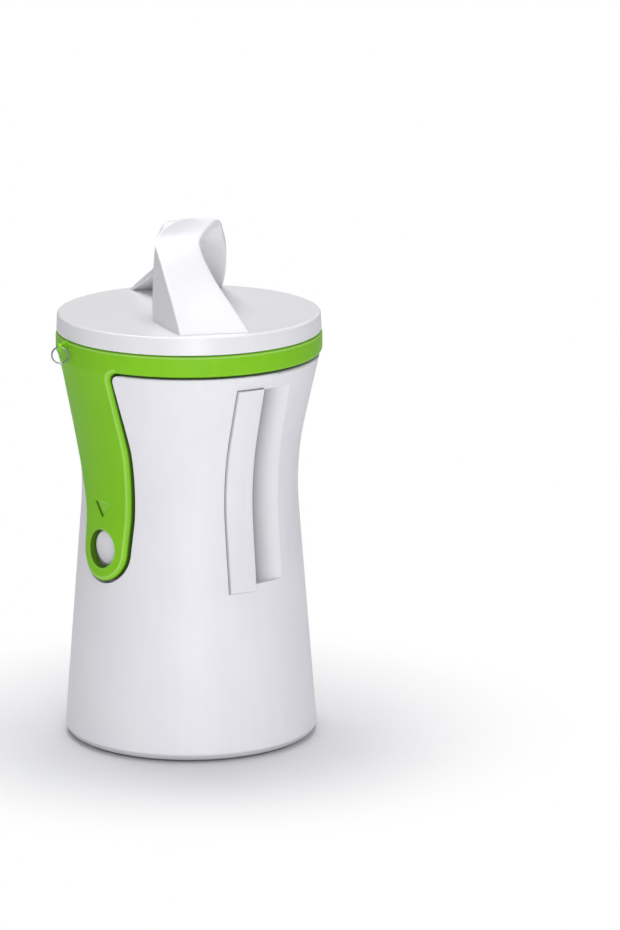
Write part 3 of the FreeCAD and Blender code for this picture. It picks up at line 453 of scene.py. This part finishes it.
def finish(name):
    """A finish by its name. The first call makes them all. Those of the moulded skin are given by
    their two tones, cloud size, grain size, flow, low and high roughness, bump and further inputs."""
    if not FINISHES:
        tones = settings("cutter_colours")
        skin, metal = moulded_skin(), brushed_metal()
        # The body's painted light: painted shade on its bottom band and in the exit scoop, and its highlight
        # colour.
        body_painted_light = {"Foot height": 3.4 * MM, "Foot tone": 0.72, "Slot tone": 0.26,
                      "Worn edge": (0.95, 0.95, 0.96)}
        for key, label, main, shade, cloud, grain, flow, low, high, bump, more in (
                ("body", "Satin white body", tones.body, tones.body_shade,
                 28.0, 2600.0, 0.35, 0.30, 0.42, (0.12, 0.04), body_painted_light),
                ("cap", "Gloss white cap", tones.cap, tones.cap_shade,
                 36.0, 3200.0, 0.1, 0.24, 0.36, (0.08, 0.03), {}),
                # The handle takes the cap's whites dimmed by 0.92: a darker copy of the cap's white, painted
                # shade that keeps its brightly lit face from washing out.
                ("handle", "Satin white handle", dimmed(tones.cap, 0.92), dimmed(tones.cap_shade, 0.92),
                 36.0, 3200.0, 0.1, 0.3, 0.42, (0.08, 0.03), {}),
                # The grip's highlight colour is the light green of its painted highlights along edges.
                ("green", "Bright green grip", tones.green, tones.green_shade,
                 32.0, 2600.0, 0.2, 0.36, 0.46, (0.08, 0.03), {"Worn edge": (0.61, 0.9, 0.29)}),
                ("cone", "Milky cone", tones.cap, tones.body_shade,
                 60.0, 2600.0, 0.5, 0.34, 0.5, (0.12, 0.04), {}),
                ("rubber", "Foot rubber", tones.rubber, dimmed(tones.rubber, 0.7),
                 90.0, 1800.0, 0.1, 0.6, 0.8, (0.3, 0.06), {})):
            shader_values = {"Specular_IOR_Level": 0.12} if key == "green" else {}
            FINISHES[key] = finish_from(label, skin, {
                "Colour": main, "Shade": shade, "Cloud size": cloud, "Grain size": grain, "Flow": flow,
                "Rough low": low, "Rough high": high, **more}, bump, **shader_values)
        FINISHES["steel"] = finish_from("Ground steel", metal, {
            "Colour": tones.steel, "Stretch": (1.0, 1.0, 0.05), "Line size": 3000.0, "Rough low": 0.18,
            "Rough high": 0.34}, (0.1, 0.01), Metallic=1.0)
        FINISHES["wire"] = finish_from("Bright wire", metal, {
            "Colour": dimmed(tones.steel, 0.55), "Stretch": (1.0, 1.0, 1.0), "Line size": 2200.0,
            "Rough low": 0.12, "Rough high": 0.26}, (0.15, 0.01), Metallic=1.0)
    return FINISHES[name]


NODE_FINISH = {node: name for name, nodes in (
    ("body", "body_shell exit_guard release_button_left release_button_right"),
    ("cap", "pusher_cap glide_ring food_holder twist_handle"),
    ("green", "grip_frame"),
    ("cone", "cutting_cone blade_carrier latch_cup_left latch_cup_right"),
    ("rubber", "foot_pad"),
    ("steel", "slicing_blade noodle_comb blade_screws comb_screws holder_spikes centre_pin"),
    ("steel", "holder_screws handle_screws"),
    ("wire", "latch_spring_left latch_spring_right hang_ring"),
) for node in nodes.split()}


class CUTTER_OT_finish_nodes(Operator):
    """Give every CAD node its finish"""
    bl_idname = "cutter.finish_nodes"
    bl_label = "Finish the CAD nodes"

    def execute(self, context):
        missing = sorted(set(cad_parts) - set(NODE_FINISH))
        if missing:
            raise RuntimeError("no finish for " + ", ".join(missing))
        for name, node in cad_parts.items():
            node.data.materials.clear()
            node.data.materials.append(finish(NODE_FINISH[name]))
        return {"FINISHED"}


# ---- twisted handle
def handle_lines(sizes):
    """Rows of the band's free edge, crease and web edge and of its lean in degrees, from the front foot
    over the top to the rear foot, across and forward from the cap's centre and up from the cap. Behind
    the top, free edge and web change places: the crease and the front's free edge come back turned
    by half a turn, and the rear web has its own rows."""
    half, high = sizes.half, sizes.height
    edge = np.array([(1, 1, 0), (0.75, 0.77, 0.205), (0.42, 0.47, 0.47), (0.205, 0.22, 0.73),
                     (0.26, 0.07, 0.86)]) * (sizes.side, sizes.reach, high)
    crease = np.array([(-0.24, 1, 0), (-0.43, 0.785, 0.243), (-0.64, 0.56, 0.486), (-0.87, 0.31, 0.72),
                       (-0.85, 0.14, 0.85)]) * (half, sizes.foot, high)
    web = np.array([(-1, 1, 0), (-1, 0.92, 0.23), (-0.98, 0.77, 0.486), (-0.93, 0.52, 0.73),
                    (-0.84, 0.24, 0.86)]) * (half, sizes.web, high)
    top = np.array([(0.82, -0.3, 0.965), (0, 0, 1), (-0.66, 0.04, 0.965)]) * (half, half, high)
    rear_web = np.array([(0.96, -0.17, 0.845), (1.03, -0.31, 0.7), (1.05, -0.52, 0.475),
                         (1.02, -0.77, 0.225), (0.94, -0.985, 0)]) * (half, sizes.foot, high)
    half_turn, lean = (-1, -1, 1), np.array([0, 30, 45, 62, 78])
    return (np.vstack([edge, top[0], rear_web]), np.vstack([crease, top[1], crease[::-1] * half_turn]),
            np.vstack([web, top[2], edge[::-1] * half_turn]),
            np.concatenate([lean, [90], 180 - lean[::-1]])[:, None])


class CUTTER_OT_handle(Operator):
    """Build the twisted handle as a folded band"""
    bl_idname = "cutter.handle"
    bl_label = "Twisted handle"

    def execute(self, context):
        """Five corner lines run over the loop: edge, crease, web and the two moved in by the wall.
        Each section is those five corners with rounds, and the sections follow smooth tracks."""
        sizes = settings("cutter_handle")
        steps, sunk = 14, 0.4 * MM
        edge, crease, web, lean = (cubic_track(rows, steps) for rows in handle_lines(sizes))
        lean = np.radians(lean)
        inward = np.concatenate([np.zeros_like(lean), -np.cos(lean), -np.sin(lean)], 1) * sizes.wall
        corners = [edge, crease, web, web + inward, edge + inward]
        rounds = [sizes.edge_round, sizes.crease_round] + 3 * [sizes.edge_round]
        runs = []
        for k, corner in enumerate(corners):
            after = (k + 1) % len(corners)
            bend = rounded_corner(corners[k - 1], corner, corners[after], rounds[k], 7)
            side = cut_back(corners[after], corner, rounds[after]) - bend[-1]
            runs += list(bend) + [bend[-1] + side * share for share in np.linspace(0, 1, 8)[1:-1]]
        band = np.stack(runs, 1)
        feet = band[[0, -1]] - sunk * UP
        band = np.concatenate([feet[:1], band, feet[1:]])
        for name, local, sharp in (("handle_band", band, 60.0), ("handle_pad_front", self.pad(1, sunk), 50.0),
                                   ("handle_pad_rear", self.pad(-1, sunk), 50.0)):
            piece = closed_grid(name, self.in_place(local, sizes.turn), finish("handle"), sharp=sharp)
            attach(piece, "cap")
            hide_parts("twist_handle")
        return {"FINISHED"}

    def in_place(self, local, turn):
        """Points given across, forward and up from the cap's top, turned about its axis."""
        side = np.array([math.cos(turn), math.sin(turn), 0])
        front = np.array([math.sin(turn), -math.cos(turn), 0])
        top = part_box("pusher_cap")[1].z
        return local[..., :1] * side + local[..., 1:2] * front + local[..., 2:] * UP + top * UP

    def pad(self, way, sunk):
        """A screw pad: rings of a rounded rectangle whose sides lean in as they rise, and which draw in
        as a quarter round at the top."""
        near, far = np.array([-4.5, 31.0]), np.array([13.0, 41.0])
        near_lean, far_lean = np.array([0.3, -0.5]), np.array([-1.0, -5.0])
        tall, bend, corner = 5.0, 0.8, 1.2
        line = arc_line([(*near, corner), (far[0], near[1], corner), (*far, corner),
                         (near[0], far[1], corner)], 96)
        share = (line - near) / (far - near)
        angle = np.linspace(0, math.pi / 2, 7)
        drawn = np.concatenate([[0], bend * (1 - np.cos(angle))])[:, None, None]
        up = np.concatenate([[-sunk / MM], tall - bend + bend * np.sin(angle)])[:, None]
        low = near + near_lean * up / tall
        high = far + far_lean * up / tall
        rings = low[:, None] + drawn + share[None] * (high - low)[:, None] - 2 * drawn * share[None]
        heights = np.broadcast_to(up[:, None], rings.shape[:2] + (1,))
        return np.concatenate([rings * way, heights], -1) * MM


# ---- grip frame
# Sizes in millimetres. Heights are above the ground, and the places across run along the arm's plate.
NECK_RADIUS, NECK_HEIGHT, NECK_BLEND, FOOT_RADIUS = 39.7, 106.0, 116.0, 48.1
RING_LOW, RING_TOP, RING_RADIUS = 147.4, 155.6, 49.95
ARM_PROUD, ARM_WALL, ARM_FOOT, ARM_FILLET = 1.6, 2.9, 12.3, 3.5
HOLE_HEIGHT, HOLE_RADIUS, BUTTON_TRAVEL = 78.0, 7.1, 1.6
GUARD_PROUD, GUARD_WALL = 1.0, 2.2
GUARD_LEFT, GUARD_RIGHT, GUARD_LOW, GUARD_HIGH = -15.0, -4.4, 63.5, 141.4
# The arm's outline as across, up and round: down from the ring's underside, and up to it again.
ARM_DOWN = [(-25.6, RING_LOW, 0.0), (-22.1, RING_LOW, ARM_FILLET), (-22.1, 116.0, 30.0),
            (-ARM_FOOT, 90.0, 30.0)]
ARM_UP = [(13.1, 90.0, 30.0), (13.1, 116.0, 30.0), (10.8, RING_LOW, ARM_FILLET), (14.58, RING_LOW, 0.0)]


def turned_form(height, foot, neck, rim, rim_height):
    """Radius of a form with two straight flanks and an arc between them that touches both: each
    flank outside the arc's touching heights, and centre less the root of R^2 - (z - zc)^2 within."""
    lower = (foot - neck) / NECK_HEIGHT
    upper = (rim - neck) / (rim_height - NECK_HEIGHT)
    down, up = math.atan(lower), math.atan(upper)
    reach = NECK_BLEND * math.tan((down + up) / 2)
    below = NECK_HEIGHT - reach * math.cos(down)
    above = NECK_HEIGHT + reach * math.cos(up)
    centre_height = below + NECK_BLEND * math.sin(down)
    centre = foot - lower * below + NECK_BLEND * math.cos(down)
    arc = centre - np.sqrt(np.maximum(NECK_BLEND ** 2 - (height - centre_height) ** 2, 0))
    straight = np.where(height < below, foot - lower * height, neck + upper * (height - NECK_HEIGHT))
    return np.where((height > below) & (height < above), arc, straight)


def arm_form(height):
    """The arms' outer radius, a hair proud of the ring's face above the ring's underside."""
    hair = 0.004
    radius = turned_form(height, FOOT_RADIUS + ARM_PROUD, NECK_RADIUS + ARM_PROUD, RING_RADIUS, RING_LOW)
    return np.where(height > RING_LOW, RING_RADIUS, radius) + hair


def guard_form(height):
    """The guard strip's outer radius, proud of the body's wall."""
    return turned_form(height, FOOT_RADIUS + GUARD_PROUD, NECK_RADIUS + GUARD_PROUD, 50.0, 146.7)


def mark_depth(across, up, depth):
    """Depth of the sunk triangle, point down, with a soft step all round: the smallest distance to
    its three sides, turned into a smooth step."""
    tip, rise, width, soft = 90.0, 5.5, 8.8, 0.25
    slope = math.atan2(rise, width / 2)
    side = (up - tip) * math.cos(slope) - np.abs(across) * math.sin(slope)
    inside = np.minimum(side, tip + rise - up)
    step = np.clip(inside / soft + 0.5, 0, 1)
    return depth * step ** 2 * (3 - 2 * step)


def mark_painted_light(across, up):
    """Painted light and shade on the triangle's walls from the slopes of its depth: painted shade where it
    falls towards the right, painted highlight where it rises to the right or falls from the top, and a little
    brighter within."""
    far = 0.22
    right = mark_depth(across + far, up, 1.0) - mark_depth(across - far, up, 1.0)
    top = mark_depth(across, up + far, 1.0) - mark_depth(across, up - far, 1.0)
    return np.clip(1.5 * right + 0.9 * top, -1, 1) - 0.2 * mark_depth(across, up, 1.0)


def bump_at(value, centre, width):
    """A soft bump that is 1 at its centre and 0 a width away: (1 - d^2)^2."""
    return np.clip(1 - ((value - centre) / width) ** 2, 0, 1) ** 2


def painted_gap_shade(fall):
    """Painted shade where a rounded edge has fallen by more than 0.75 mm, fully dark from 1.25 mm."""
    return np.clip((fall - 0.75) / 0.5, 0, 1)


def ring_painted_light(radius, height):
    """Painted highlight along the top outer round, painted shade where the lower outer round turns under."""
    under = np.where(height < 149.5, painted_gap_shade(RING_RADIUS - radius), 0)
    edge = (radius > 48) & (height > 150)
    return under - 0.9 * bump_at(height - radius, RING_TOP - RING_RADIUS - 0.4, 0.6) * edge


def on_form(across, up, radius, turn):
    """Points of a plate that lies on a turned form, out along -Y at no turn: out = sqrt(r^2 - across^2)."""
    out = np.sqrt(np.maximum(radius ** 2 - across ** 2, 0))
    c, s = math.cos(turn), math.sin(turn)
    return np.stack([c * across + s * out, s * across - c * out, up], -1) * MM


def round_drop(distance, bend):
    """How far a round edge falls at a distance from the edge: b - sqrt(b^2 - (b - d)^2)."""
    left = np.clip(bend - distance, 0, bend)
    return bend - np.sqrt(bend ** 2 - left ** 2)


def arm_lines(bend, lip):
    """The arm's outline, its inward normals, the inner line that the face runs in to, and the way to
    the hole's wall. The outline goes from the ring's underside down one side, round the foot and up
    the other, at levels that lie denser beside the triangle. The inner line comes down the arm's
    middle, goes round the hole and back up, with each level's two points on the middle the same, so
    that the halves meet there. Its last levels are spread to end at the hole."""
    half_turn = np.linspace(math.pi, 2 * math.pi, 60)
    foot = [(ARM_FOOT * math.cos(a), HOLE_HEIGHT + ARM_FOOT * math.sin(a), 0.0) for a in half_turn]
    line = arc_line(ARM_DOWN + foot + ARM_UP, 4000, closed=False)
    ahead = np.gradient(line, axis=0)
    ahead /= np.linalg.norm(ahead, axis=1, keepdims=True)
    inward = np.stack([-ahead[:, 1], ahead[:, 0]], -1)
    level = (line + inward * bend)[:, 1]
    fillet = np.sin(np.linspace(math.pi / 2, 0, 18)) * (ARM_FILLET + bend) + RING_LOW - ARM_FILLET
    bent, dense, last, around = 100, 97, 89, 120
    levels = np.concatenate([fillet, np.linspace(fillet[-1], dense, 46)[1:],
                             np.linspace(dense, last, 58)[1:]])
    levels = np.minimum(levels, RING_LOW + bend - 1e-6)
    half = len(line) // 2
    spot = np.arange(len(line), dtype=float)
    left = np.interp(-levels, -level[:half], spot[:half])
    right = np.interp(levels[::-1], level[half:], spot[half:])
    below = np.linspace(left[-1], right[0], around + 2)[1:-1]
    at = np.concatenate([left, below, right])
    outline, inward = points_at(at, spot, line), points_at(at, spot, inward)
    edge = HOLE_RADIUS + lip
    pressed = bent - (bent - levels) * (bent - HOLE_HEIGHT - edge) / (bent - last)
    middle = np.where(levels < bent, pressed, levels)
    angle = np.linspace(math.pi / 2, 2.5 * math.pi, around + 2)[1:-1]
    way = np.zeros_like(outline)
    way[len(left):-len(right)] = np.stack([np.cos(angle), np.sin(angle)], -1)
    way[[len(left) - 1, -len(right)]] = (0, 1)
    inner = np.zeros_like(outline)
    inner[:, 1] = np.concatenate([middle, np.full(around, HOLE_HEIGHT), middle[::-1]])
    inner[len(left):-len(right)] = way[len(left):-len(right)] * edge + (0, HOLE_HEIGHT)
    return outline, inward, inner, way


def build_arm(name, sizes, turn):
    """A closed plate on the turned form: from the hole's wall over its lip, across the face, round the
    outer edge, down its side and back inside. Along the middle the two halves are welded. The face
    has denser rows over the share of it that holds the triangle."""
    bend, lip, mark = sizes.arm_round / MM, sizes.hole_round / MM, sizes.mark_depth / MM
    outline, inward, inner, way = arm_lines(bend, lip)
    on_hole = np.linalg.norm(way, axis=1) > 0
    start = outline + inward * bend
    hole = inner - way * lip
    rows = [(hole, -ARM_WALL)]
    for a in np.linspace(0, math.pi / 2, 8):
        rows.append((inner - way * lip * math.cos(a), -lip * (1 - math.sin(a)) * on_hole))
    lip_rows = len(rows) - 1
    marked = 0.42
    for share in np.concatenate([np.linspace(0, marked, 33)[1:], np.linspace(marked, 1, 15)[1:]]):
        rows.append((inner + (start - inner) * share, 0.0))
    face = len(rows)
    for a in np.linspace(0, math.pi / 2, 10)[1:]:
        rows.append((outline + inward * bend * (1 - math.sin(a)), -bend * (1 - math.cos(a))))
    for share in (0.0, 0.3, 0.65):
        rows.append((outline + (hole - outline) * share, -ARM_WALL))
    across = np.stack([line[:, 0] for line, _ in rows], 1)
    up = np.stack([line[:, 1] for line, _ in rows], 1)
    drop = np.stack([np.broadcast_to(fall, len(outline)) for _, fall in rows], 1)
    drop[:, 1:face] -= mark_depth(across[:, 1:face], up[:, 1:face], mark)
    # A painted highlight runs along the start of the outer round and the hole's lip, with painted shade below
    # them in the gaps and down the hole's wall.
    tone = np.zeros(across.shape)
    tone[:, face:] = painted_gap_shade(-drop[:, face:])
    tone[:, face:face + 3] -= np.array([0.7, 0.5, 0.15])
    tone[:, 1:face] = mark_painted_light(across[:, 1:face], up[:, 1:face]) if mark else 0
    tone[on_hole, :face] += np.interp(np.arange(face), [0, 3, 6, 9, 12], [0.9, 0.75, 0.1, -0.9, 0.0])
    points = on_form(across, up, arm_form(up) + drop, turn)
    seam = ~(on_hole[:-1] & on_hole[1:])
    skip = seam[:, None] & (np.arange(len(rows)) < lip_rows)[None]
    return closed_grid(name, points, finish("green"), sharp=70.0, skip=skip, tone=tone)


class CUTTER_OT_grip_frame(Operator):
    """Build the green ring with its two arms"""
    bl_idname = "cutter.grip_frame"
    bl_label = "Grip frame"

    def execute(self, context):
        sizes = settings("cutter_grip")
        bend = sizes.arm_round / MM
        ring = turned_profile("grip_ring", (
            (RING_RADIUS, RING_LOW, bend), (RING_RADIUS, RING_TOP, 1.3), (47.0, RING_TOP, 1.2),
            (47.0, 150.0, 0.6), (41.0, 145.2, 0.3), (44.2, 145.2, 0.0), (44.2, 143.2, 0.0),
            (43.5, 142.9, 0.0), (43.5, 142.2, 0.2), (45.3, 142.2, 0.3), (46.4, RING_LOW, 0.0)),
            finish("green"), segments=360, steps=9, tone=ring_painted_light)
        arms = [build_arm(name, sizes, turn)
                for name, turn in (("grip_arm_left", -math.pi / 2), ("grip_arm_right", math.pi / 2))]
        for piece in [ring] + arms:
            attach(piece, "base")
            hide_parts("grip_frame")
        return {"FINISHED"}


class CUTTER_OT_guard(Operator):
    """Build the guard strip beside the exit with soft edges"""
    bl_idname = "cutter.guard"
    bl_label = "Exit guard"

    def execute(self, context):
        """Rings across the strip at each height: the front less the round's fall at the distance to
        the nearest edge, and back along the strip's rear. Painted shade darkens it along all edges but the
        scoop's, and more along its rear."""
        bend = settings("cutter_grip").guard_round / MM
        edge = bend * (1 - np.cos(np.linspace(0, math.pi / 2, 8)))
        up, across = (np.concatenate([low + edge, np.linspace(low + bend, high - bend, count)[1:-1],
                                      (high - edge)[::-1]])
                      for low, high, count in ((GUARD_LOW, GUARD_HIGH, 80), (GUARD_LEFT, GUARD_RIGHT, 12)))
        z, x = np.meshgrid(up, across, indexing="ij")
        framed = np.minimum(x - GUARD_LEFT, np.minimum(z - GUARD_LOW, GUARD_HIGH - z))
        near = np.minimum(framed, GUARD_RIGHT - x)
        front = on_form(x, z, guard_form(z) - round_drop(near, bend), 0.0)
        rear = on_form(x[:, ::-1], z, guard_form(z) - GUARD_WALL, 0.0)
        # Painted shade: 0.4 along the front's left, top and bottom edges, and 0.75 over the rear in the slot.
        tone = np.concatenate([0.4 * np.clip(1 - framed / 0.3, 0, 1), np.full_like(framed, 0.75)], 1)
        piece = closed_grid("guard_strip", np.concatenate([front, rear], 1), finish("body"), sharp=70.0,
                            tone=tone)
        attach(piece, "base")
        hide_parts("exit_guard")
        return {"FINISHED"}


# ---- split ring and its lug
class CUTTER_OT_hang_ring(Operator):
    """Build the split wire ring and the lug that it hangs in"""
    bl_idname = "cutter.hang_ring"
    bl_label = "Hang ring"

    def execute(self, context):
        """The wire is nearly two turns of a circle that steps sideways by its own thickness, in a
        smooth step between the turns. It hangs in a plane that holds Z and the level direction."""
        wire = settings("cutter_grip").wire
        low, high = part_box("hang_ring")
        centre = np.array((low + high) / 2)
        level = np.array([0.766044, -0.642788, 0.0])
        axis = np.cross(level, UP)
        radius, wound, start, loose = 3.1 * MM, 0.985, 0.4, 1.02
        turns = np.linspace(0, 1, 241)
        angle = 4 * math.pi * turns * wound + start
        step = np.clip((turns - 0.4) / 0.2, 0, 1)
        aside = (step ** 2 * (3 - 2 * step) - 0.5) * 2 * wire * loose
        path = (centre + radius * (np.cos(angle)[:, None] * level + np.sin(angle)[:, None] * UP)
                + aside[:, None] * axis)
        ring = tube("split_ring", path, wire, finish("wire"), columns=20)
        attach(ring, "wire_ring")
        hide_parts("hang_ring")
        self.build_lug(centre + radius * UP, level)
        return {"FINISHED"}

    def build_lug(self, spot, axis):
        """An eye turned about the hole, and a stem whose section is a rounded box, from it to the rim.
        The stem grows towards its end, where |flat + reach * along| is the rim's radius."""
        across = np.cross(UP, axis)
        inner, outer, half = 0.75, 1.35, 0.7
        section = rounded_section([(inner, -half), (outer, -half), (outer, half), (inner, half)], 0.22)
        angle = full_turn(48)[:, None, None]
        radial = np.cos(angle) * across + np.sin(angle) * UP
        points = spot + (section[None, :, :1] * radial + section[None, :, 1:] * axis) * MM
        eye = closed_grid("lug_eye", points, finish("green"), wrap_rows=True)
        lean, rim, root, grown = math.radians(30), 48.4 * MM, 1.15 * MM, 0.25
        along = across * math.cos(lean) + axis * math.sin(lean)
        aside = np.cross(along, UP)
        shape = rounded_section([(-half, -outer), (half, -outer), (half, outer), (-half, outer)], 0.35)
        flat = spot * (1 - UP)
        reach = -flat @ along - math.sqrt((flat @ along) ** 2 - flat @ flat + rim ** 2)
        run = np.linspace(root, reach, 12)[:, None, None]
        grow = 1 + grown * ((run - run[0]) / (run[-1] - run[0])) ** 2
        points = spot + run * along + (shape[None, :, :1] * aside + shape[None, :, 1:] * UP) * grow * MM
        stem = closed_grid("lug_stem", points, finish("green"))
        for piece in (eye, stem):
            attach(piece, "base")
            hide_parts("grip_frame")


# ---- latch springs
class CUTTER_OT_latch_springs(Operator):
    """Build the two coil springs at their CAD length; on the cutter they shorten as their buttons are pressed
    """
    bl_idname = "cutter.latch_springs"
    bl_label = "Latch springs"

    def execute(self, context):
        """A wire wound about X: the angle grows evenly, and the way along grows by the running sum of
        a pitch that is just over one wire at the closed ends and wider between them."""
        coils, wire, closed_pitch = 5, 0.4 * MM, 0.82 * MM
        turns = np.linspace(0, coils, 321)
        opened = np.clip((turns - 0.7) / 0.3, 0, 1) * np.clip((coils - 0.7 - turns) / 0.3, 0, 1)
        for side, sign in (("left", -1), ("right", 1)):
            low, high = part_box("latch_spring_" + side)
            fixed, free = (high.x, low.x) if sign < 0 else (low.x, high.x)
            run = abs(free - fixed) - 2 * wire
            closed = closed_pitch * coils / len(turns)
            along = np.cumsum(closed + opened * (run - closed * len(turns)) / opened.sum())
            along = (along - along[0]) / (along[-1] - along[0]) * run + wire
            angle = 2 * math.pi * turns
            around = (high.z - low.z) / 2 - wire
            path = np.stack([fixed + sign * along, around * np.cos(angle),
                             (low.z + high.z) / 2 + around * np.sin(angle)], -1)
            spring = tube("coil_spring_" + side, path, wire, finish("wire"), columns=14)
            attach(spring, "base")
            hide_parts("latch_spring_" + side)
            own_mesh(spring)
        return {"FINISHED"}


# ---- stage
class CUTTER_OT_stage(Operator):
    """Set the floor, the lamps, the surrounding light and the camera"""
    bl_idname = "cutter.stage"
    bl_label = "Stage"

    def execute(self, context):
        studio = settings("cutter_studio")
        self.build_floor()
        self.build_world(studio)
        self.build_lamps(studio)
        self.build_camera(studio)
        context.scene.view_settings.view_transform = "Standard"
        return {"FINISHED"}

    def build_floor(self):
        """A flat disc: rings of points, whose radius grows as the square of the ring's number. Away
        from the object the camera sees it glow white."""
        rings, columns, reach = 24, 96, 9.0
        radius = (np.linspace(0, 1, rings)[1:] ** 2 * reach)[:, None]
        angle = full_turn(columns)[None]
        points = np.stack([radius * np.cos(angle), radius * np.sin(angle), 0 * radius * angle], -1)
        faces = grid_faces(rings - 1, columns).tolist() + [list(range(columns))]
        material = bpy.data.materials.new("Pale floor")
        material.use_nodes = True
        tree = material.node_tree
        shader = tree.nodes["Principled BSDF"]
        for label, value in (("Base Color", (0.9, 0.9, 0.905, 1)), ("Roughness", 0.6),
                             ("Specular IOR Level", 0.2)):
            shader.inputs[label].default_value = value
        spot = put_node(tree, "ShaderNodeTexCoord", {}, "Object")
        far = put_node(tree, "ShaderNodeVectorMath", {0: spot}, "Value", operation="LENGTH")
        seen = put_node(tree, "ShaderNodeLightPath", {}, "Is Camera Ray")
        share = math_node(tree, "MULTIPLY", map_range(tree, far, 0.05, 0.15, shape="SMOOTHSTEP"), seen)
        glow = put_node(tree, "ShaderNodeEmission", {}, "Emission")
        mix_surfaces(tree, share, shader.outputs["BSDF"], glow, "Material Output")
        floor = make_piece("floor", points, faces, material)

    def build_world(self, studio):
        """A pale cool surround, brighter in front than behind: its strength follows the dot product
        of the direction with one that points forward, left and up. The camera sees white."""
        world = bpy.data.worlds.new("Soft surround")
        bpy.context.scene.world = world
        world.use_nodes = True
        tree = world.node_tree
        light = tree.nodes["Background"]
        light.inputs["Color"].default_value = (0.93, 0.93, 1.0, 1)
        way = put_node(tree, "ShaderNodeTexCoord", {}, "Generated")
        toward = put_node(tree, "ShaderNodeVectorMath", {0: way, 1: (-0.16, -0.82, 0.55)}, "Value",
                          operation="DOT_PRODUCT")
        strength = map_range(tree, toward, -0.35, 1.0, 0.3 * studio.world, 1.6 * studio.world)
        tree.links.new(strength, light.inputs["Strength"])
        white = put_node(tree, "ShaderNodeBackground", {"Color": (1, 1, 1, 1), "Strength": 1.0}, "Background")
        seen = put_node(tree, "ShaderNodeLightPath", {}, "Is Camera Ray")
        mix_surfaces(tree, seen, light.outputs["Background"], white, "World Output")

    def look(self, name, data, place, way):
        """An object at a place that looks along a direction."""
        holder = bpy.data.objects.new(name, data)
        holder.location = place
        holder.rotation_mode = "QUATERNION"
        holder.rotation_quaternion = way.to_track_quat("-Z", "Y")
        bpy.context.scene.collection.objects.link(holder)
        return holder

    def build_lamps(self, studio):
        """Rectangular lamps that look at the object's middle, each from its azimuth and elevation in
        degrees and its distance, with its two sides and its power."""
        for name, azimuth, elevation, distance, size, power in (
                ("key", -36, 6, 1.2, (0.5, 0.7), studio.key),
                ("strip", -88, 18, 1.1, (0.08, 0.9), studio.strip),
                ("overhead", 150, 76, 1.2, (0.8, 0.8), studio.top)):
            lamp = bpy.data.lights.new(name, "AREA")
            lamp.shape = "RECTANGLE"
            lamp.size, lamp.size_y = size
            lamp.energy = power
            a, e = math.radians(azimuth), math.radians(elevation)
            way = Vector((math.sin(a) * math.cos(e), -math.cos(a) * math.cos(e), math.sin(e)))
            self.look(name, lamp, Vector((0, 0, 0.09)) + way * distance, -way)

    def build_camera(self, studio):
        """The camera stands back from the axis on its azimuth and aims a little to its right."""
        camera = bpy.data.cameras.new("camera")
        camera.lens = studio.lens
        camera.sensor_width = 36.0
        camera.clip_start, camera.clip_end = 0.1, 40.0
        a, e = studio.azimuth, studio.elevation
        back = Vector((math.sin(a), -math.cos(a), 0)) * math.cos(e) + Vector((0, 0, math.sin(e)))
        right = Vector((math.cos(a), math.sin(a), 0))
        height = Vector((0, 0, studio.aim_height))
        place = height + back * studio.distance
        aim = height + right * studio.aim_side
        bpy.context.scene.camera = self.look("camera", camera, place, aim - place)


# ---- panel and registration
STEPS = ("stage", "finish_nodes", "grip_frame", "guard", "hang_ring", "latch_springs", "handle")


class CUTTER_PT_panel(Panel):
    """Lists the steps that dress the cutter, with their sizes and colours"""
    bl_idname = "CUTTER_PT_panel"
    bl_label = "Spiral Cutter"
    bl_space_type = "VIEW_3D"
    bl_region_type = "UI"
    bl_category = "Spiral Cutter"

    def draw(self, context):
        for step in STEPS:
            self.layout.operator("cutter." + step)
        for name in GROUPS:
            group = settings(name)
            box = self.layout.box()
            for key in group.__annotations__:
                box.prop(group, key)


GROUPS = {"cutter_handle": HandleSizes, "cutter_grip": GripSizes, "cutter_colours": FinishColours,
          "cutter_studio": StudioSettings}
CLASSES = (*GROUPS.values(), CUTTER_OT_stage, CUTTER_OT_finish_nodes, CUTTER_OT_grip_frame, CUTTER_OT_guard,
           CUTTER_OT_hang_ring, CUTTER_OT_latch_springs, CUTTER_OT_handle, CUTTER_PT_panel)


def register():
    for item in CLASSES:
        bpy.utils.register_class(item)
    for name, group in GROUPS.items():
        setattr(bpy.types.Scene, name, PointerProperty(type=group))


def unregister():
    for name in GROUPS:
        delattr(bpy.types.Scene, name)
    for item in reversed(CLASSES):
        bpy.utils.unregister_class(item)


def main():
    register()
    for step in STEPS:
        getattr(bpy.ops.cutter, step)()
    bpy.context.view_layer.update()


if __name__ == "__main__":
    main()
